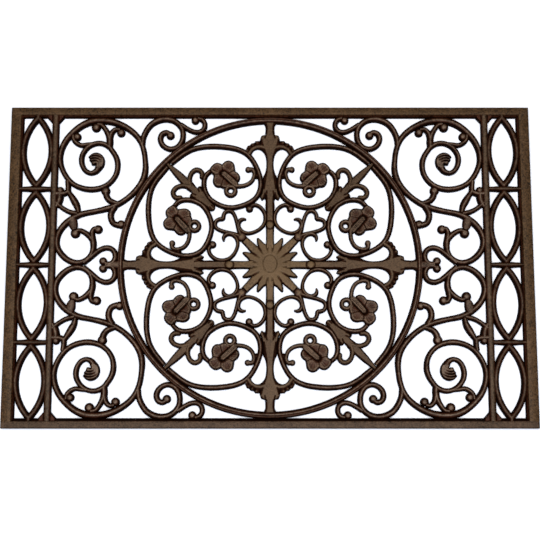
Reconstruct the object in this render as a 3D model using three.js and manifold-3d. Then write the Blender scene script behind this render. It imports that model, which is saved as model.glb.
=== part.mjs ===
// Cast iron door mat: an openwork rectangle with a round medallion and scrolled side panels.
// Millimetres, +Z up, long side along X, origin at the middle of the underside.

import * as THREE from "three";
import { mergeVertices } from "three/addons/utils/BufferGeometryUtils.js";
import Module from "manifold-3d";

const wasm = await Module();
wasm.setup();

// Overall size and frame
const matLength = 740;
const matWidth = 457;
const longRailWidth = 14.2;
const sideRailWidth = 17.5;
const railHeight = 10;
const railOuterBevel = 1.3;
const railInnerSlope = 3.4;
const railInnerWall = 4.4;

// Borders at the two ends
const mullionWidth = 10;
const lensCellWidth = 40.8;
const lensRib = 9.4;
const lensSideInset = 0.3;
const lensTipInset = 0.2;
const barMiddle = 9.6;
const barShoulder = 7.4;
const barEnd = 6.4;
const gussetLength = 8.5;
const gussetWidth = 7.5;

// Medallion
const ringWidth = 9.9;
const ringIntoRail = 0.9;
const rosetteButtonWidth = 20;
const rosetteButtonLength = 25;
const flowerEyeHole = 6.8;

// Ribs, leaves and buttons
const ribThickness = 7.8;
const underRelief = 1;
const ribTop = 9.2;
const leafTop = 8.8;
const webTop = 7.6;
const barTop = 9.6;
const rosetteTop = 9.5;
const buttonTop = 9.8;
const crestShare = 0.42;
const buttonCrestShare = 0.6;
const ovalCrestShare = 0.84;

// Joint gap between neighbouring members, and how far their joints run into each other
const jointGap = 0.3;
const jointLap = 1.5;

// Cast iron finish, lighter where the casting is flat
const ironRoughness = 0.62;
const ironMetalness = 0.55;
const railColour = "#54452f";
const ribColour = "#43352a";
const leafColour = "#5d4d3b";
const flowerColour = "#4f4030";
const rosetteColour = "#66543f";

// Places that follow from the sizes above
const railInnerY = matWidth / 2 - longRailWidth;
const railInnerX = matLength / 2 - sideRailWidth;
const mullionOuterX = railInnerX - lensCellWidth;
const mullionInnerX = mullionOuterX - mullionWidth;
const lensCentreX = (mullionOuterX + railInnerX) / 2;
const lensHalfWidth = lensCellWidth / 2 - lensSideInset;
const lensCellHeight = (railInnerY - 1.5 * barMiddle) / 2;
const ringOuter = railInnerY + ringIntoRail;
const ringInner = ringOuter - ringWidth;

// A neighbour's clearance cuts from below the mat to above it
const clearBottom = -1;
const clearTop = railHeight + 1;

// The ornament is drawn at the pattern size below and fitted to the sizes above
const patternRing = 214.9;
const patternRail = 214;
const patternMullion = 302;
const patternRib = 7.2;

// The most that a rib turns, bows out, swells or runs on between two of its sections
const stepTurn = THREE.MathUtils.degToRad(45);
const stepBow = 1;
const stepWidth = 4;
const stepLength = 300;
const ringSteps = 52;
const lensKnots = 9;
const buttonSides = 8;
const eyeSteps = 12;

// Point lists: x and y of the middle of the rib, and its width at the foot.
// They are drawn for the quarter with x and y positive; the rest is mirrored and turned.

const flowerScrollLine = [
  [140.7, 146.3, 6], [133, 152.9, 6.8], [122, 161.4, 6.8], [110, 167.8, 7], [96, 171.2, 7.2],
  [80, 172.2, 7.4], [64, 171.2, 7.4], [50, 168.8, 7.3], [38, 164.2, 7.2], [29.5, 157.5, 7],
  [22.3, 147.5, 6.8], [16.6, 135, 6.8], [13.2, 121, 6.9], [14.3, 108, 7], [19.4, 97.5, 7],
  [27, 91, 7], [38, 85.8, 7], [50, 82.7, 6.9], [60, 82.8, 6.9], [70, 85.6, 6.8],
  [79, 90.4, 6.8], [85.5, 95.7, 6.6], [89.4, 101.5, 6.5], [92.4, 108.5, 6.6],
  [93.9, 117, 6.9], [93, 125, 6.9], [90.2, 130.4, 6.6], [86.2, 134.4, 6],
];

const flowerTwigLine = [
  [49, 113.4, 6], [38, 114.2, 5.6], [31, 116.8, 5.5], [25.5, 121.5, 5.5], [22.8, 128, 5.3],
  [22.4, 133.5, 5.4], [25.2, 137.7, 6], [30.5, 137.7, 6.8],
];
const flowerTwigWeb = [[24, 129.5, 8], [15.5, 128.5, 8]];
const flowerTwigEnd = [31, 137.7, 3.9];
const flowerOutline = [
  [80.4, 130.2], [84.4, 133.2], [86, 137.2], [84.4, 141.4], [81.2, 145.2], [77, 147.7], [72.3, 147.5],
  [68.2, 145.5], [65.4, 148.7], [61.6, 150.8], [57.4, 150.9], [53.2, 148.9], [50.6, 145], [49.8, 140],
  [48.8, 135.2], [45.4, 132.6], [43, 129], [42.3, 125], [43.5, 121.4], [46.4, 118.6], [50.8, 116],
  [56, 112.6], [61.5, 109.6], [66.4, 110], [70.4, 111.6], [74.6, 111.8], [78.2, 113.8], [80.6, 117.4],
  [81.3, 121.8], [80.6, 126.4],
];
const flowerPistilLine = [[66.4, 131.8, 5.2], [58, 124.4, 6], [48, 115, 6.2]];
const flowerEye = [55.7, 106.6, 9.1];

const heartLoopLine = [
  [41.5, 43.5, 7], [44.6, 52, 5.6], [46.8, 61, 5.2], [49.8, 70.5, 5.2], [53.6, 76.2, 5.2],
  [58.6, 77.8, 5.4], [63, 75.2, 5.4], [65.6, 71.2, 5.6],
];
const heartNotch = [67.9, 67.9, 6.2];
const heartCurlLine = [
  [33.6, 64.7, 2], [37.4, 65.6, 4.2], [41.6, 64.2, 5.6], [44.4, 59.3, 5.6], [43.2, 53, 5.2],
  [39.5, 48.4, 5.2], [34, 45.7, 5.2], [28, 45.5, 4.8], [21, 47.6, 4.8], [14.3, 51.6, 5],
  [9, 57.5, 5.2], [6.6, 65, 5.4], [7.2, 73, 5.4], [10.8, 80, 5.4], [16.5, 84.8, 5.4],
  [22.5, 86.2, 5.4], [27, 83.8, 6],
];
const heartKnob = [29, 80.6, 4.8];
const heartBoss = [40, 40, 5.5];
const heartSpoke = [[41, 41, 10.4], [31, 31, 10.8], [20, 20, 12.6]];

const diagonalHookLine = [
  [112, 112, 8.5], [114.6, 121, 7.6], [113.6, 128, 6.4], [110.6, 134, 6.6], [105, 137.5, 6.8],
  [99.6, 136.2, 6.7], [96.6, 132.2, 6.7], [97, 127, 6],
];
const diagonalHalf = [
  [143.4, 149.4], [137.4, 143.9], [128, 135.8], [118.8, 127.3], [112.5, 121], [108.6, 118],
  [105.5, 113.6], [102.8, 110.4], [101.9, 113], [98.1, 114], [95.4, 111.4], [91.4, 103.5],
  [87, 96], [82, 89.5], [77.9, 85.4], [77.9, 80.4],
];
const diagonalTip = [78.9, 78.9];

const armLeafHalf = [
  [9.5, 207.5], [8.6, 205], [6.9, 202], [6.4, 199], [6.9, 188.8], [11.8, 188], [13.4, 184.5],
  [14.3, 179.9], [20.5, 179.9], [22.6, 177.2], [26.8, 176.2], [28.8, 173.6], [31.7, 172.8],
  [33.3, 169.5], [35, 164], [31, 156.5], [26.8, 157.5], [25.8, 161.3], [23, 165.3],
  [18.5, 167.4], [14, 166.8], [9.7, 163.5], [6.6, 158], [5.3, 150], [5.4, 140], [7.3, 132],
  [9.2, 128.2], [10.2, 124], [10.2, 112], [12.4, 101], [14.4, 98], [11.7, 92.4], [7.3, 95.6],
];
const armStemHalf = [[6.3, 92.5], [6.4, 84], [5.2, 78], [4.7, 66], [5.5, 56], [5.1, 48], [5.3, 29]];
const armBoss = [0, 57, 4.9];

const rosetteEighth = [[5.3, 30], [7.8, 31.2], [16.5, 39.1], [18.7, 38.8], [19.2, 29.4]];

const cornerScrollLine = [
  [182.3, 174.5, 7.4], [181.2, 185, 7.8], [176.6, 196, 8], [169.6, 205, 8.4], [160, 210.4, 8.6],
  [149.5, 212.2, 8.2], [139, 210.3, 8], [131, 205, 8], [125.8, 197.5, 7.6], [124.3, 188, 7.7],
  [126.3, 178.2, 7.8], [132.8, 170.4, 7.6], [141.8, 168, 7.2], [149.6, 170.8, 7.2],
  [155, 176.6, 7.6], [156.8, 183.5, 7.8], [154.2, 190, 7.8], [148, 192.4, 7.5], [142.5, 189, 7],
];
const cornerScrollKnob = [142.3, 187.9, 5.5];
const cornerBranchLine = [
  [127.5, 204, 7], [117, 197.3, 6.6], [108, 193.4, 6.6], [100, 193.5, 6.8], [94.6, 198, 7],
  [93.3, 205, 7], [96.8, 211, 7], [103, 213.2, 6.5],
];
const cornerBranchKnob = [107, 210.2, 5.3];

const sideScrollLine = [
  [243.6, 142.5, 10], [247.5, 136, 8.2], [254.3, 132.8, 6.4], [261.5, 135.2, 6.6],
  [266.5, 141.5, 7], [269, 150, 7.4], [268.3, 158.5, 7.2], [264.5, 166, 7], [258, 172.4, 6.8],
  [248.5, 176.4, 6.8], [239, 176, 7], [229.8, 171, 7.2], [225, 165, 7.2], [220.8, 158.5, 7.4],
  [217.7, 150, 7.8], [217.2, 140, 7.4], [219.6, 130, 7.1], [225.4, 121, 7], [233.5, 114.3, 7.1],
  [243.3, 110.3, 7.6], [255, 109, 7.8], [268, 111.2, 7.4], [279.3, 116.4, 7], [288.6, 125.3, 7.2],
  [296, 138, 7.2], [299.6, 151, 7.6], [298.5, 165, 7.8], [292.5, 180, 8.6], [282.3, 192.6, 9],
  [269.5, 203, 9.4], [256.5, 208.7, 10], [243, 210.3, 10], [229.5, 209.2, 9.6],
  [215.5, 204.8, 9], [202.3, 197.6, 8.4], [191.7, 188.6, 8], [184.6, 178.2, 7.5],
  [180, 165, 7.3], [177.9, 151, 7.3], [177.3, 138, 8.2], [179.8, 125, 8.6], [185.5, 114, 8.2],
  [193.3, 104.3, 8], [202.5, 95.8, 7.6], [212.5, 89, 7.8], [222.5, 84, 8], [235, 80, 8],
  [249, 76.8, 7.4], [262, 74.3, 7.8], [271.5, 71.4, 8.4], [280.5, 66.3, 8.8], [290, 58.5, 9],
  [297.3, 48.6, 8.4], [301, 36.5, 7.8], [299.6, 24.5, 8], [293, 14.2, 8.4], [283, 6.4, 8],
  [271, 3, 7.8], [260.6, 5.7, 7.6], [253, 12.3, 7.4], [249.6, 21, 7.4], [248.9, 30, 8.8],
  [250.6, 38.5, 8.8],
];
const palmetteOutline = [
  [249.6, 139.6], [248.2, 145.2], [251, 144], [254.2, 144.2], [255.4, 148.2], [257.9, 151],
  [257.4, 153.6], [259.6, 156.2], [254.5, 161.2], [248.5, 163], [242, 161], [237.5, 156.5],
  [235.5, 150], [236.6, 143], [240.4, 137],
];
const sideTwigLines = [
  [[229.8, 170, 9], [229.2, 180, 9.4], [230.8, 187.5, 8.6], [235.8, 197, 7], [241, 203.2, 7],
    [247, 204.6, 7]],
  [[229.3, 183, 8.6], [226.8, 191.5, 7.4], [221.5, 196.8, 6.6], [215, 196.2, 6.2]],
  [[252.5, 175.8, 5], [261, 174.6, 6], [269.5, 173.6, 6.3], [276.5, 176.8, 6.5], [281, 182.3, 6.5],
    [281.8, 188, 6.5]],
  [[213.5, 88.4, 5], [220.5, 89.8, 7], [227.3, 92.8, 8], [231.8, 98.8, 8.6], [233.4, 107, 9]],
  [[288, 121, 7], [287, 112, 7.2], [287, 104, 8]],
  [[285.5, 106, 7], [293.5, 103, 8.5], [304, 102.5, 10]],
  [[299.2, 101, 8.5], [300.3, 92, 7.5], [303, 84, 6.5]],
  [[287, 106.5, 6.2], [283, 100.3, 7.8], [277.8, 92, 9.6], [273.8, 84.5, 8.8], [271.3, 75.5, 6]],
  [[303.5, 89.5, 6.5], [298.8, 85.4, 6.4], [292, 80.3, 6.2], [284.3, 76.4, 6.6], [273, 73.4, 7]],
  [[220, 84, 9], [224.8, 75, 8.6], [224.9, 67, 8.4], [221.3, 60, 8], [213, 56.6, 8]],
  [[250, 36, 8.8], [251, 46, 7.6], [248.4, 51.6, 6.8], [243, 51.8, 6.5]],
  [[250, 35.5, 8], [256.5, 42.8, 7.8], [262.5, 47, 7], [269, 49.4, 6.6], [275, 47.2, 6.6]],
];
const sideKnobs = [
  [249.2, 199.7, 6.1], [213.2, 191.8, 5.6], [276, 185.8, 5.5], [233.3, 106.5, 6.1],
  [297.8, 108, 3.8], [210.2, 58, 5.6], [242.5, 50.8, 5.8], [275, 45, 6.2], [277.5, 58.3, 6.2],
];

const sideCrestLine = [
  [262, 2.8, 6.5], [253, 10.4, 7.2], [246, 16.6, 7.3], [238.5, 22, 7], [230, 24.6, 7.3],
  [222, 22.2, 7.2], [217.7, 15.5, 7.6], [217.9, 8.5, 7.6], [221.5, 3, 7], [228, 1.4, 6.6], [233.5, 4, 5],
];
const sideCrestStem = [[212, 0, 7], [222, 0, 8], [231, 0, 9]];
const sideCrestKnob = [234.5, 5.2, 5.3];

// Fits a medallion point to the ring: the pattern grows with it, and the ribs keep their thickness.
const medallionScale = ringOuter / patternRing;
const ribScale = ribThickness / patternRib;
const onMedallion = ([x, y, size]) => [x * medallionScale, y * medallionScale, size * ribScale];

// Half the width of the circle of the given radius at height y.
const circleAt = (radius, y) => Math.sqrt(Math.max(0, radius ** 2 - y ** 2));

// Fits a side panel point between the ring and the mullion, and between the long rails.
function onPanel([x, y, size]) {
  const height = (y * railInnerY) / patternRail;
  const near = circleAt(patternRing, y);
  const stretch = (mullionInnerX - circleAt(ringOuter, height)) / (patternMullion - near);
  return [circleAt(ringOuter, height) + (x - near) * stretch, height, size * ribScale];
}

const mirrorX = ([x, y, size]) => [-x, y, size];
const mirrorY = ([x, y, size]) => [x, -y, size];
const mirrorDiagonal = ([x, y, size]) => [y, x, size];

// A closed geometry as a solid: only positions are kept, and shared corners are merged.
function toSolid(geometry) {
  geometry.deleteAttribute("normal");
  geometry.deleteAttribute("uv");
  const merged = mergeVertices(geometry);
  return new wasm.Manifold(new wasm.Mesh({
    numProp: 3,
    vertProperties: new Float32Array(merged.attributes.position.array),
    triVerts: new Uint32Array(merged.index.array),
  }));
}

const join = (solids) => solids.reduce((whole, next) => whole.add(next));
const cut = (whole, cutters) => cutters.reduce((rest, next) => rest.subtract(next), whole);

// Sections along a rib, spread so that each step turns, bows out and swells by about the same share
// of what a step may.
function ribSections(points) {
  const knots = points.map(([x, y, width]) => new THREE.Vector3(x, y, width));
  const line = new THREE.CatmullRomCurve3(knots, false, "centripetal");
  const count = Math.ceil(line.getLength());
  const samples = Array.from({ length: count + 1 }, (_, i) => {
    const { x, y, z: width } = line.getPoint(i / count);
    const tangent = line.getTangent(i / count);
    return { x, y, width, heading: Math.atan2(tangent.y, tangent.x) };
  });
  const shares = [0];
  for (let i = 1; i <= count; i += 1) {
    const [before, after] = [samples[i - 1], samples[i]];
    const change = after.heading - before.heading;
    const turn = Math.abs(Math.atan2(Math.sin(change), Math.cos(change)));
    const length = Math.hypot(after.x - before.x, after.y - before.y);
    const bow = Math.sqrt((turn * length) / (8 * stepBow));
    const swell = Math.abs(after.width - before.width) / stepWidth;
    shares.push(shares[i - 1] + Math.max(bow, turn / stepTurn, swell, length / stepLength));
  }
  const steps = Math.ceil(shares[count]);
  return Array.from({ length: steps + 1 }, (_, i) => (
    samples[shares.findIndex((share) => share >= (i / steps) * shares[count])]
  ));
}

// A cast rib: a section with a wide foot and a narrow crest, carried along a smooth line.
// With a gap it is the clearance for a neighbour: straight walls, wider and longer by the gap.
function rib(points, { top = ribTop, gap = 0 } = {}) {
  const low = gap > 0 ? clearBottom : underRelief;
  const high = gap > 0 ? clearTop : top;
  const sections = ribSections(points);
  const position = [];
  sections.forEach((section, i) => {
    const { width, heading } = section;
    const foot = width / 2 + gap;
    const crest = gap > 0 ? foot : foot * crestShare;
    const [alongX, alongY] = [Math.cos(heading), Math.sin(heading)];
    const [sideX, sideY] = [-alongY, alongX];
    const past = { 0: -gap, [sections.length - 1]: gap }[i] ?? 0;
    const [x, y] = [section.x + alongX * past, section.y + alongY * past];
    position.push(x - sideX * foot, y - sideY * foot, low);
    position.push(x + sideX * foot, y + sideY * foot, low);
    position.push(x + sideX * crest, y + sideY * crest, high);
    position.push(x - sideX * crest, y - sideY * crest, high);
  });
  const corners = 4;
  const index = [0, 2, 1, 0, 3, 2];
  for (let i = 0; i + 1 < sections.length; i += 1) {
    for (let j = 0; j < corners; j += 1) {
      const [a, b] = [i * corners + j, i * corners + ((j + 1) % corners)];
      index.push(a, b, a + corners, b, b + corners, a + corners);
    }
  }
  const end = (sections.length - 1) * corners;
  index.push(end, end + 1, end + 2, end, end + 2, end + 3);
  const geometry = new THREE.BufferGeometry();
  geometry.setAttribute("position", new THREE.Float32BufferAttribute(position, 3));
  geometry.setIndex(index);
  return toSolid(geometry);
}

// A round button: a short drafted cylinder, or its straight-walled clearance.
function button([x, y, radius], { gap = 0 } = {}) {
  const low = gap > 0 ? clearBottom : underRelief;
  const high = gap > 0 ? clearTop : buttonTop;
  const foot = radius + gap;
  const crest = gap > 0 ? foot : foot * buttonCrestShare;
  const geometry = new THREE.CylinderGeometry(crest, foot, high - low, buttonSides);
  geometry.rotateX(Math.PI / 2);
  geometry.translate(x, y, (low + high) / 2);
  return toSolid(geometry);
}

// A flat leaf or plate with the given outline.
function plate(outline, { low = underRelief, top = leafTop } = {}) {
  const shape = new THREE.Shape(outline.map(([x, y]) => new THREE.Vector2(x, y)));
  const geometry = new THREE.ExtrudeGeometry(shape, { depth: top - low, bevelEnabled: false });
  geometry.translate(0, 0, low);
  return toSolid(geometry);
}

// An annulus with drafted walls, or its straight-walled clearance.
function annulus(inner, outer, { top = ribTop, gap = 0, steps = ringSteps, x = 0, y = 0 } = {}) {
  const low = gap > 0 ? clearBottom : underRelief;
  const high = gap > 0 ? clearTop : top;
  const draft = gap > 0 ? 0 : ((outer - inner) / 2) * (1 - crestShare);
  const profile = [
    [inner - gap, low], [outer + gap, low], [outer + gap - draft, high], [inner - gap + draft, high],
    [inner - gap, low],
  ];
  const geometry = new THREE.LatheGeometry(profile.map(([r, z]) => new THREE.Vector2(r, z)), steps);
  geometry.rotateX(Math.PI / 2);
  geometry.translate(x, y, 0);
  return toSolid(geometry);
}

// A straight block between two corners.
function block([x0, y0, z0], [x1, y1, z1]) {
  const geometry = new THREE.BoxGeometry(x1 - x0, y1 - y0, z1 - z0);
  geometry.translate((x0 + x1) / 2, (y0 + y1) / 2, (z0 + z1) / 2);
  return toSolid(geometry);
}

// A frame rail: bevelled outside, sloping inside. Its section runs from the outer edge inwards.
// With a gap it is the clearance for a neighbour, which reaches from below the mat to above it.
function rail(length, width, gap = 0) {
  const inner = width + gap;
  const low = gap > 0 ? clearBottom : 0;
  const outerCorner = gap > 0
    ? [[inner - railInnerSlope, clearTop], [0, clearTop]]
    : [[railOuterBevel, railHeight], [0, railHeight - railOuterBevel]];
  const outline = [
    [0, low], [inner, low], [inner, railInnerWall], [inner - railInnerSlope, railHeight], ...outerCorner,
  ];
  const section = new THREE.Shape(outline.map(([across, up]) => new THREE.Vector2(across, up)));
  const geometry = new THREE.ExtrudeGeometry(section, { depth: length, bevelEnabled: false });
  geometry.translate(0, 0, -length / 2);
  geometry.rotateX(Math.PI / 2);
  return geometry;
}

// The scene graph: each member is a named mesh in its own cast iron shade.
const mat = new THREE.Group();

function member(name, solid, color, { parent = mat } = {}) {
  const { vertProperties, triVerts } = solid.getMesh();
  const geometry = new THREE.BufferGeometry();
  geometry.setAttribute("position", new THREE.Float32BufferAttribute(vertProperties, 3));
  geometry.setIndex([...triVerts]);
  geometry.computeVertexNormals();
  const iron = { color, roughness: ironRoughness, metalness: ironMetalness };
  const mesh = new THREE.Mesh(geometry, new THREE.MeshStandardMaterial(iron));
  mesh.name = name;
  parent.add(mesh);
  return mesh;
}

function turnedGroup(angle) {
  const group = new THREE.Group();
  group.rotation.z = angle;
  mat.add(group);
  return group;
}

// Frame rails. The long rails run the full length and the side rails stand between them, up to the
// top of their inner slopes.
const longRailClearance = [1, -1].map((end) => {
  const clearance = rail(matLength, longRailWidth, jointGap);
  return toSolid(clearance.rotateZ((-end * Math.PI) / 2).translate(0, (end * matWidth) / 2, 0));
});
const sideRailClearance = toSolid(
  rail(matWidth, sideRailWidth, jointGap).rotateZ(Math.PI).translate(matLength / 2, 0, 0),
);
const slopeTopY = railInnerY + railInnerSlope;
const longRail = toSolid(rail(matLength, longRailWidth));
const sideRail = cut(toSolid(rail(2 * (slopeTopY - 2 * jointGap), sideRailWidth)), longRailClearance);
const railPlaces = [
  { name: "rail_bottom", solid: longRail, x: 0, y: -matWidth / 2, turn: Math.PI / 2 },
  { name: "rail_top", solid: longRail, x: 0, y: matWidth / 2, turn: -Math.PI / 2 },
  { name: "rail_left", solid: sideRail, x: -matLength / 2, y: 0, turn: 0 },
  { name: "rail_right", solid: sideRail, x: matLength / 2, y: 0, turn: Math.PI },
];
for (const { name, solid, x, y, turn } of railPlaces) {
  const beam = member(name, solid, railColour);
  beam.rotation.z = turn;
  beam.position.set(x, y, 0);
}

// Mullion of the right border, with a gusset on both sides at each end.
function mullionParts(gap) {
  const x = (mullionInnerX + mullionOuterX) / 2;
  return rib([[x, -slopeTopY, mullionWidth], [x, slopeTopY, mullionWidth]], { top: barTop, gap });
}
function gusset(side, end) {
  const edge = side > 0 ? mullionOuterX : mullionInnerX;
  const root = edge - side * jointLap;
  return plate([
    [root, end * (railInnerY - gussetLength)],
    [root, end * slopeTopY],
    [edge + side * gussetWidth, end * slopeTopY],
    [edge + side * gussetWidth, end * railInnerY],
    [edge, end * (railInnerY - gussetLength)],
  ]);
}
const gussets = [1, -1].flatMap((side) => [1, -1].map((end) => gusset(side, end)));
const mullionClearance = mullionParts(jointGap);
const mullion = cut(join([mullionParts(0), ...gussets]), longRailClearance);

// Spindle bars of the right border: thick in the middle.
const barRows = [-1, 0, 1].map((row) => row * (lensCellHeight + barMiddle));
const shoulderOffset = lensCellWidth / 3;
const barLine = (y) => [
  [mullionOuterX - jointLap, y, barEnd],
  [lensCentreX - shoulderOffset, y, barShoulder],
  [lensCentreX, y, barMiddle],
  [lensCentreX + shoulderOffset, y, barShoulder],
  [railInnerX + railInnerSlope, y, barEnd],
];
const bars = barRows.map((y) => cut(rib(barLine(y), { top: barTop }), [mullionClearance, sideRailClearance]));
const barClearances = barRows.map((y) => rib(barLine(y), { gap: jointGap }));

// Pointed oval lens: two arcs of a circle that cross at the tips and run on over the rails' slopes.
function lensArc(centreY, side) {
  const crossing = lensCellHeight / 2 - lensTipInset;
  const radius = (lensHalfWidth ** 2 + crossing ** 2) / (2 * lensHalfWidth);
  const reach = Math.asin((lensCellHeight / 2 + railInnerSlope) / radius);
  return Array.from({ length: lensKnots }, (_, i) => {
    const angle = reach * ((2 * i) / (lensKnots - 1) - 1);
    const x = radius * Math.cos(angle) - (radius - lensHalfWidth);
    return [lensCentreX + side * x, centreY + radius * Math.sin(angle), lensRib];
  });
}
const lensRows = [-1.5, -0.5, 0.5, 1.5].map((row) => row * (lensCellHeight + barMiddle));
const lenses = lensRows.map((y) => cut(
  join([rib(lensArc(y, 1)), rib(lensArc(y, -1))]),
  [mullionClearance, sideRailClearance, ...longRailClearance, ...barClearances],
));

// Ring, touching both long rails.
const ringClearance = annulus(ringInner, ringOuter, { gap: jointGap });
member("ring", cut(annulus(ringInner, ringOuter), longRailClearance), ribColour);

// Rosette: a plate with eight rays, and a low oval button in the middle.
function rosetteOutline() {
  const eighth = rosetteEighth.map(onMedallion);
  const quarter = [...eighth, ...eighth.map(mirrorDiagonal).reverse()];
  return Array.from({ length: 4 }, (_, i) => quarter.map(([x, y]) => {
    const turned = new THREE.Vector2(x, y).rotateAround(new THREE.Vector2(), (-i * Math.PI) / 2);
    return [turned.x, turned.y];
  })).flat();
}
function ovalButton() {
  const height = buttonTop - underRelief;
  const geometry = new THREE.CylinderGeometry(ovalCrestShare / 2, 1 / 2, height, 2 * buttonSides);
  geometry.rotateX(Math.PI / 2);
  geometry.scale(rosetteButtonWidth, rosetteButtonLength, 1);
  geometry.translate(0, 0, underRelief + height / 2);
  return toSolid(geometry);
}
member("rosette", join([plate(rosetteOutline(), { top: rosetteTop }), ovalButton()]), rosetteColour);
const rosetteClearance = plate(
  rosetteOutline().map(([x, y]) => {
    const reach = Math.hypot(x, y);
    return [x * (1 + jointGap / reach), y * (1 + jointGap / reach)];
  }),
  { low: clearBottom, top: clearTop },
);

// Flower scroll of the upper right quarter, and its mirror image across the diagonal.
const scrollLine = flowerScrollLine.map(onMedallion);
const scrollLines = [scrollLine, scrollLine.map(mirrorDiagonal)];
const scrollClearances = scrollLines.map((line) => rib(line, { gap: jointGap }));
const scrolls = scrollLines.map((line) => cut(rib(line), [ringClearance]));

// Flower: five petals, pistil, eye loop and the twig that ties it to its scroll.
function flower(hand) {
  const place = (point) => hand(onMedallion(point));
  const [eyeX, eyeY, eyeOuter] = place(flowerEye);
  return join([
    plate(flowerOutline.map(place)),
    rib(flowerPistilLine.map(place), { top: buttonTop }),
    rib(flowerTwigLine.map(place)),
    rib(flowerTwigWeb.map(place), { top: webTop }),
    button(place(flowerTwigEnd)),
    annulus(flowerEyeHole / 2, eyeOuter, { steps: eyeSteps, x: eyeX, y: eyeY }),
  ]);
}
const keepPoint = (point) => point;
const flowers = [keepPoint, mirrorDiagonal].map((hand) => cut(flower(hand), scrollClearances));

// Leaf arm towards +Y.
function leafArm() {
  const half = [...armLeafHalf, ...armStemHalf].map(onMedallion);
  return join([plate([...half, ...half.map(mirrorX).reverse()]), button(onMedallion(armBoss))]);
}
const leftScrollClearance = rib(scrollLine.map(mirrorX), { gap: jointGap });
const arm = cut(leafArm(), [ringClearance, rosetteClearance, scrollClearances[0], leftScrollClearance]);

// The arm's clearance is its straight stem and its boss, which the curls of the hearts lean on.
const stemClearanceHalf = armStemHalf.map(onMedallion).map(([x, y]) => [x + jointGap, y]);
const stemClearance = plate(
  [...stemClearanceHalf, ...stemClearanceHalf.map(mirrorX).reverse()],
  { low: clearBottom, top: clearTop },
);
const armClearance = join([stemClearance, button(onMedallion(armBoss), { gap: jointGap })]);

// Diagonal arm: leaf, stem and two hooks.
function diagonalArm() {
  const half = [...diagonalHalf, diagonalTip].map(onMedallion);
  const hook = diagonalHookLine.map(onMedallion);
  return join([
    plate([...half, ...diagonalHalf.map(onMedallion).map(mirrorDiagonal).reverse()]),
    rib(hook),
    rib(hook.map(mirrorDiagonal)),
  ]);
}
const diagonal = cut(diagonalArm(), [ringClearance, ...scrollClearances]);

// Heart with its boss, spoke and two curls.
function heart() {
  const loop = [...heartLoopLine, heartNotch, ...heartLoopLine.map(mirrorDiagonal).reverse()];
  const curl = heartCurlLine.map(onMedallion);
  const knob = onMedallion(heartKnob);
  return join([
    rib(loop.map(onMedallion)),
    rib(heartSpoke.map(onMedallion)),
    button(onMedallion(heartBoss)),
    rib(curl),
    rib(curl.map(mirrorDiagonal)),
    button(knob),
    button(mirrorDiagonal(knob)),
  ]);
}
const sideArmClearance = armClearance.rotate([0, 0, -90]);
const heartSolid = cut(heart(), [rosetteClearance, armClearance, sideArmClearance, ...scrollClearances]);

// The medallion repeats every quarter turn.
["top_right", "top_left", "bottom_left", "bottom_right"].forEach((corner, i) => {
  const quarter = turnedGroup((i * Math.PI) / 2);
  member(`flower_scroll_${corner}_1`, scrolls[0], ribColour, { parent: quarter });
  member(`flower_scroll_${corner}_2`, scrolls[1], ribColour, { parent: quarter });
  member(`flower_${corner}_1`, flowers[0], flowerColour, { parent: quarter });
  member(`flower_${corner}_2`, flowers[1], flowerColour, { parent: quarter });
  member(`diagonal_arm_${corner}`, diagonal, leafColour, { parent: quarter });
  member(`heart_${corner}`, heartSolid, ribColour, { parent: quarter });
});
["top", "left", "bottom", "right"].forEach((side, i) => {
  member(`leaf_arm_${side}`, arm, leafColour, { parent: turnedGroup((i * Math.PI) / 2) });
});

// Side scroll of one quarter: the volute with its palmette, twigs, buds and lower curl.
function sideScroll(hand) {
  const place = (point) => hand(onPanel(point));
  return join([
    rib(sideScrollLine.map(place)),
    plate(palmetteOutline.map(place)),
    ...sideTwigLines.map((twig) => rib(twig.map(place))),
    ...sideKnobs.map((knob) => button(place(knob))),
  ]);
}

// Corner scroll between the ring and a long rail, with its branch.
function cornerScroll(hand) {
  const place = (point) => hand(onPanel(point));
  return join([
    rib(cornerScrollLine.map(place)),
    rib(cornerBranchLine.map(place)),
    button(place(cornerScrollKnob)),
    button(place(cornerBranchKnob)),
  ]);
}

// Crest on the centre line of a side panel, between the ring and both side scrolls.
function sideCrest() {
  const place = (point) => onPanel(point);
  const line = sideCrestLine.map(place);
  const knob = place(sideCrestKnob);
  return join([
    rib(line),
    rib(line.map(mirrorY)),
    rib(sideCrestStem.map(place)),
    button(knob),
    button(mirrorY(knob)),
  ]);
}

// Each side scroll ends short of the centre line, where its mirror image begins.
const halfGap = jointGap / 2;
const belowCentre = block([-matLength, -matWidth, clearBottom], [matLength, halfGap, clearTop]);
const aboveCentre = block([-matLength, -halfGap, clearBottom], [matLength, matWidth, clearTop]);
const panelClearance = [mullionClearance, ringClearance, ...longRailClearance];
const sideHands = [
  { hand: keepPoint, centre: belowCentre },
  { hand: mirrorY, centre: aboveCentre },
];
const sideScrolls = sideHands.map(({ hand, centre }) => cut(sideScroll(hand), [...panelClearance, centre]));
const sideScrollClearances = sideHands.map(({ hand }) => (
  rib(sideScrollLine.map((point) => hand(onPanel(point))), { gap: jointGap })
));
const cornerScrolls = sideHands.map(({ hand }, i) => cut(
  cornerScroll(hand),
  [ringClearance, ...longRailClearance, sideScrollClearances[i]],
));
const crest = cut(sideCrest(), [ringClearance, ...sideScrollClearances]);

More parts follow.
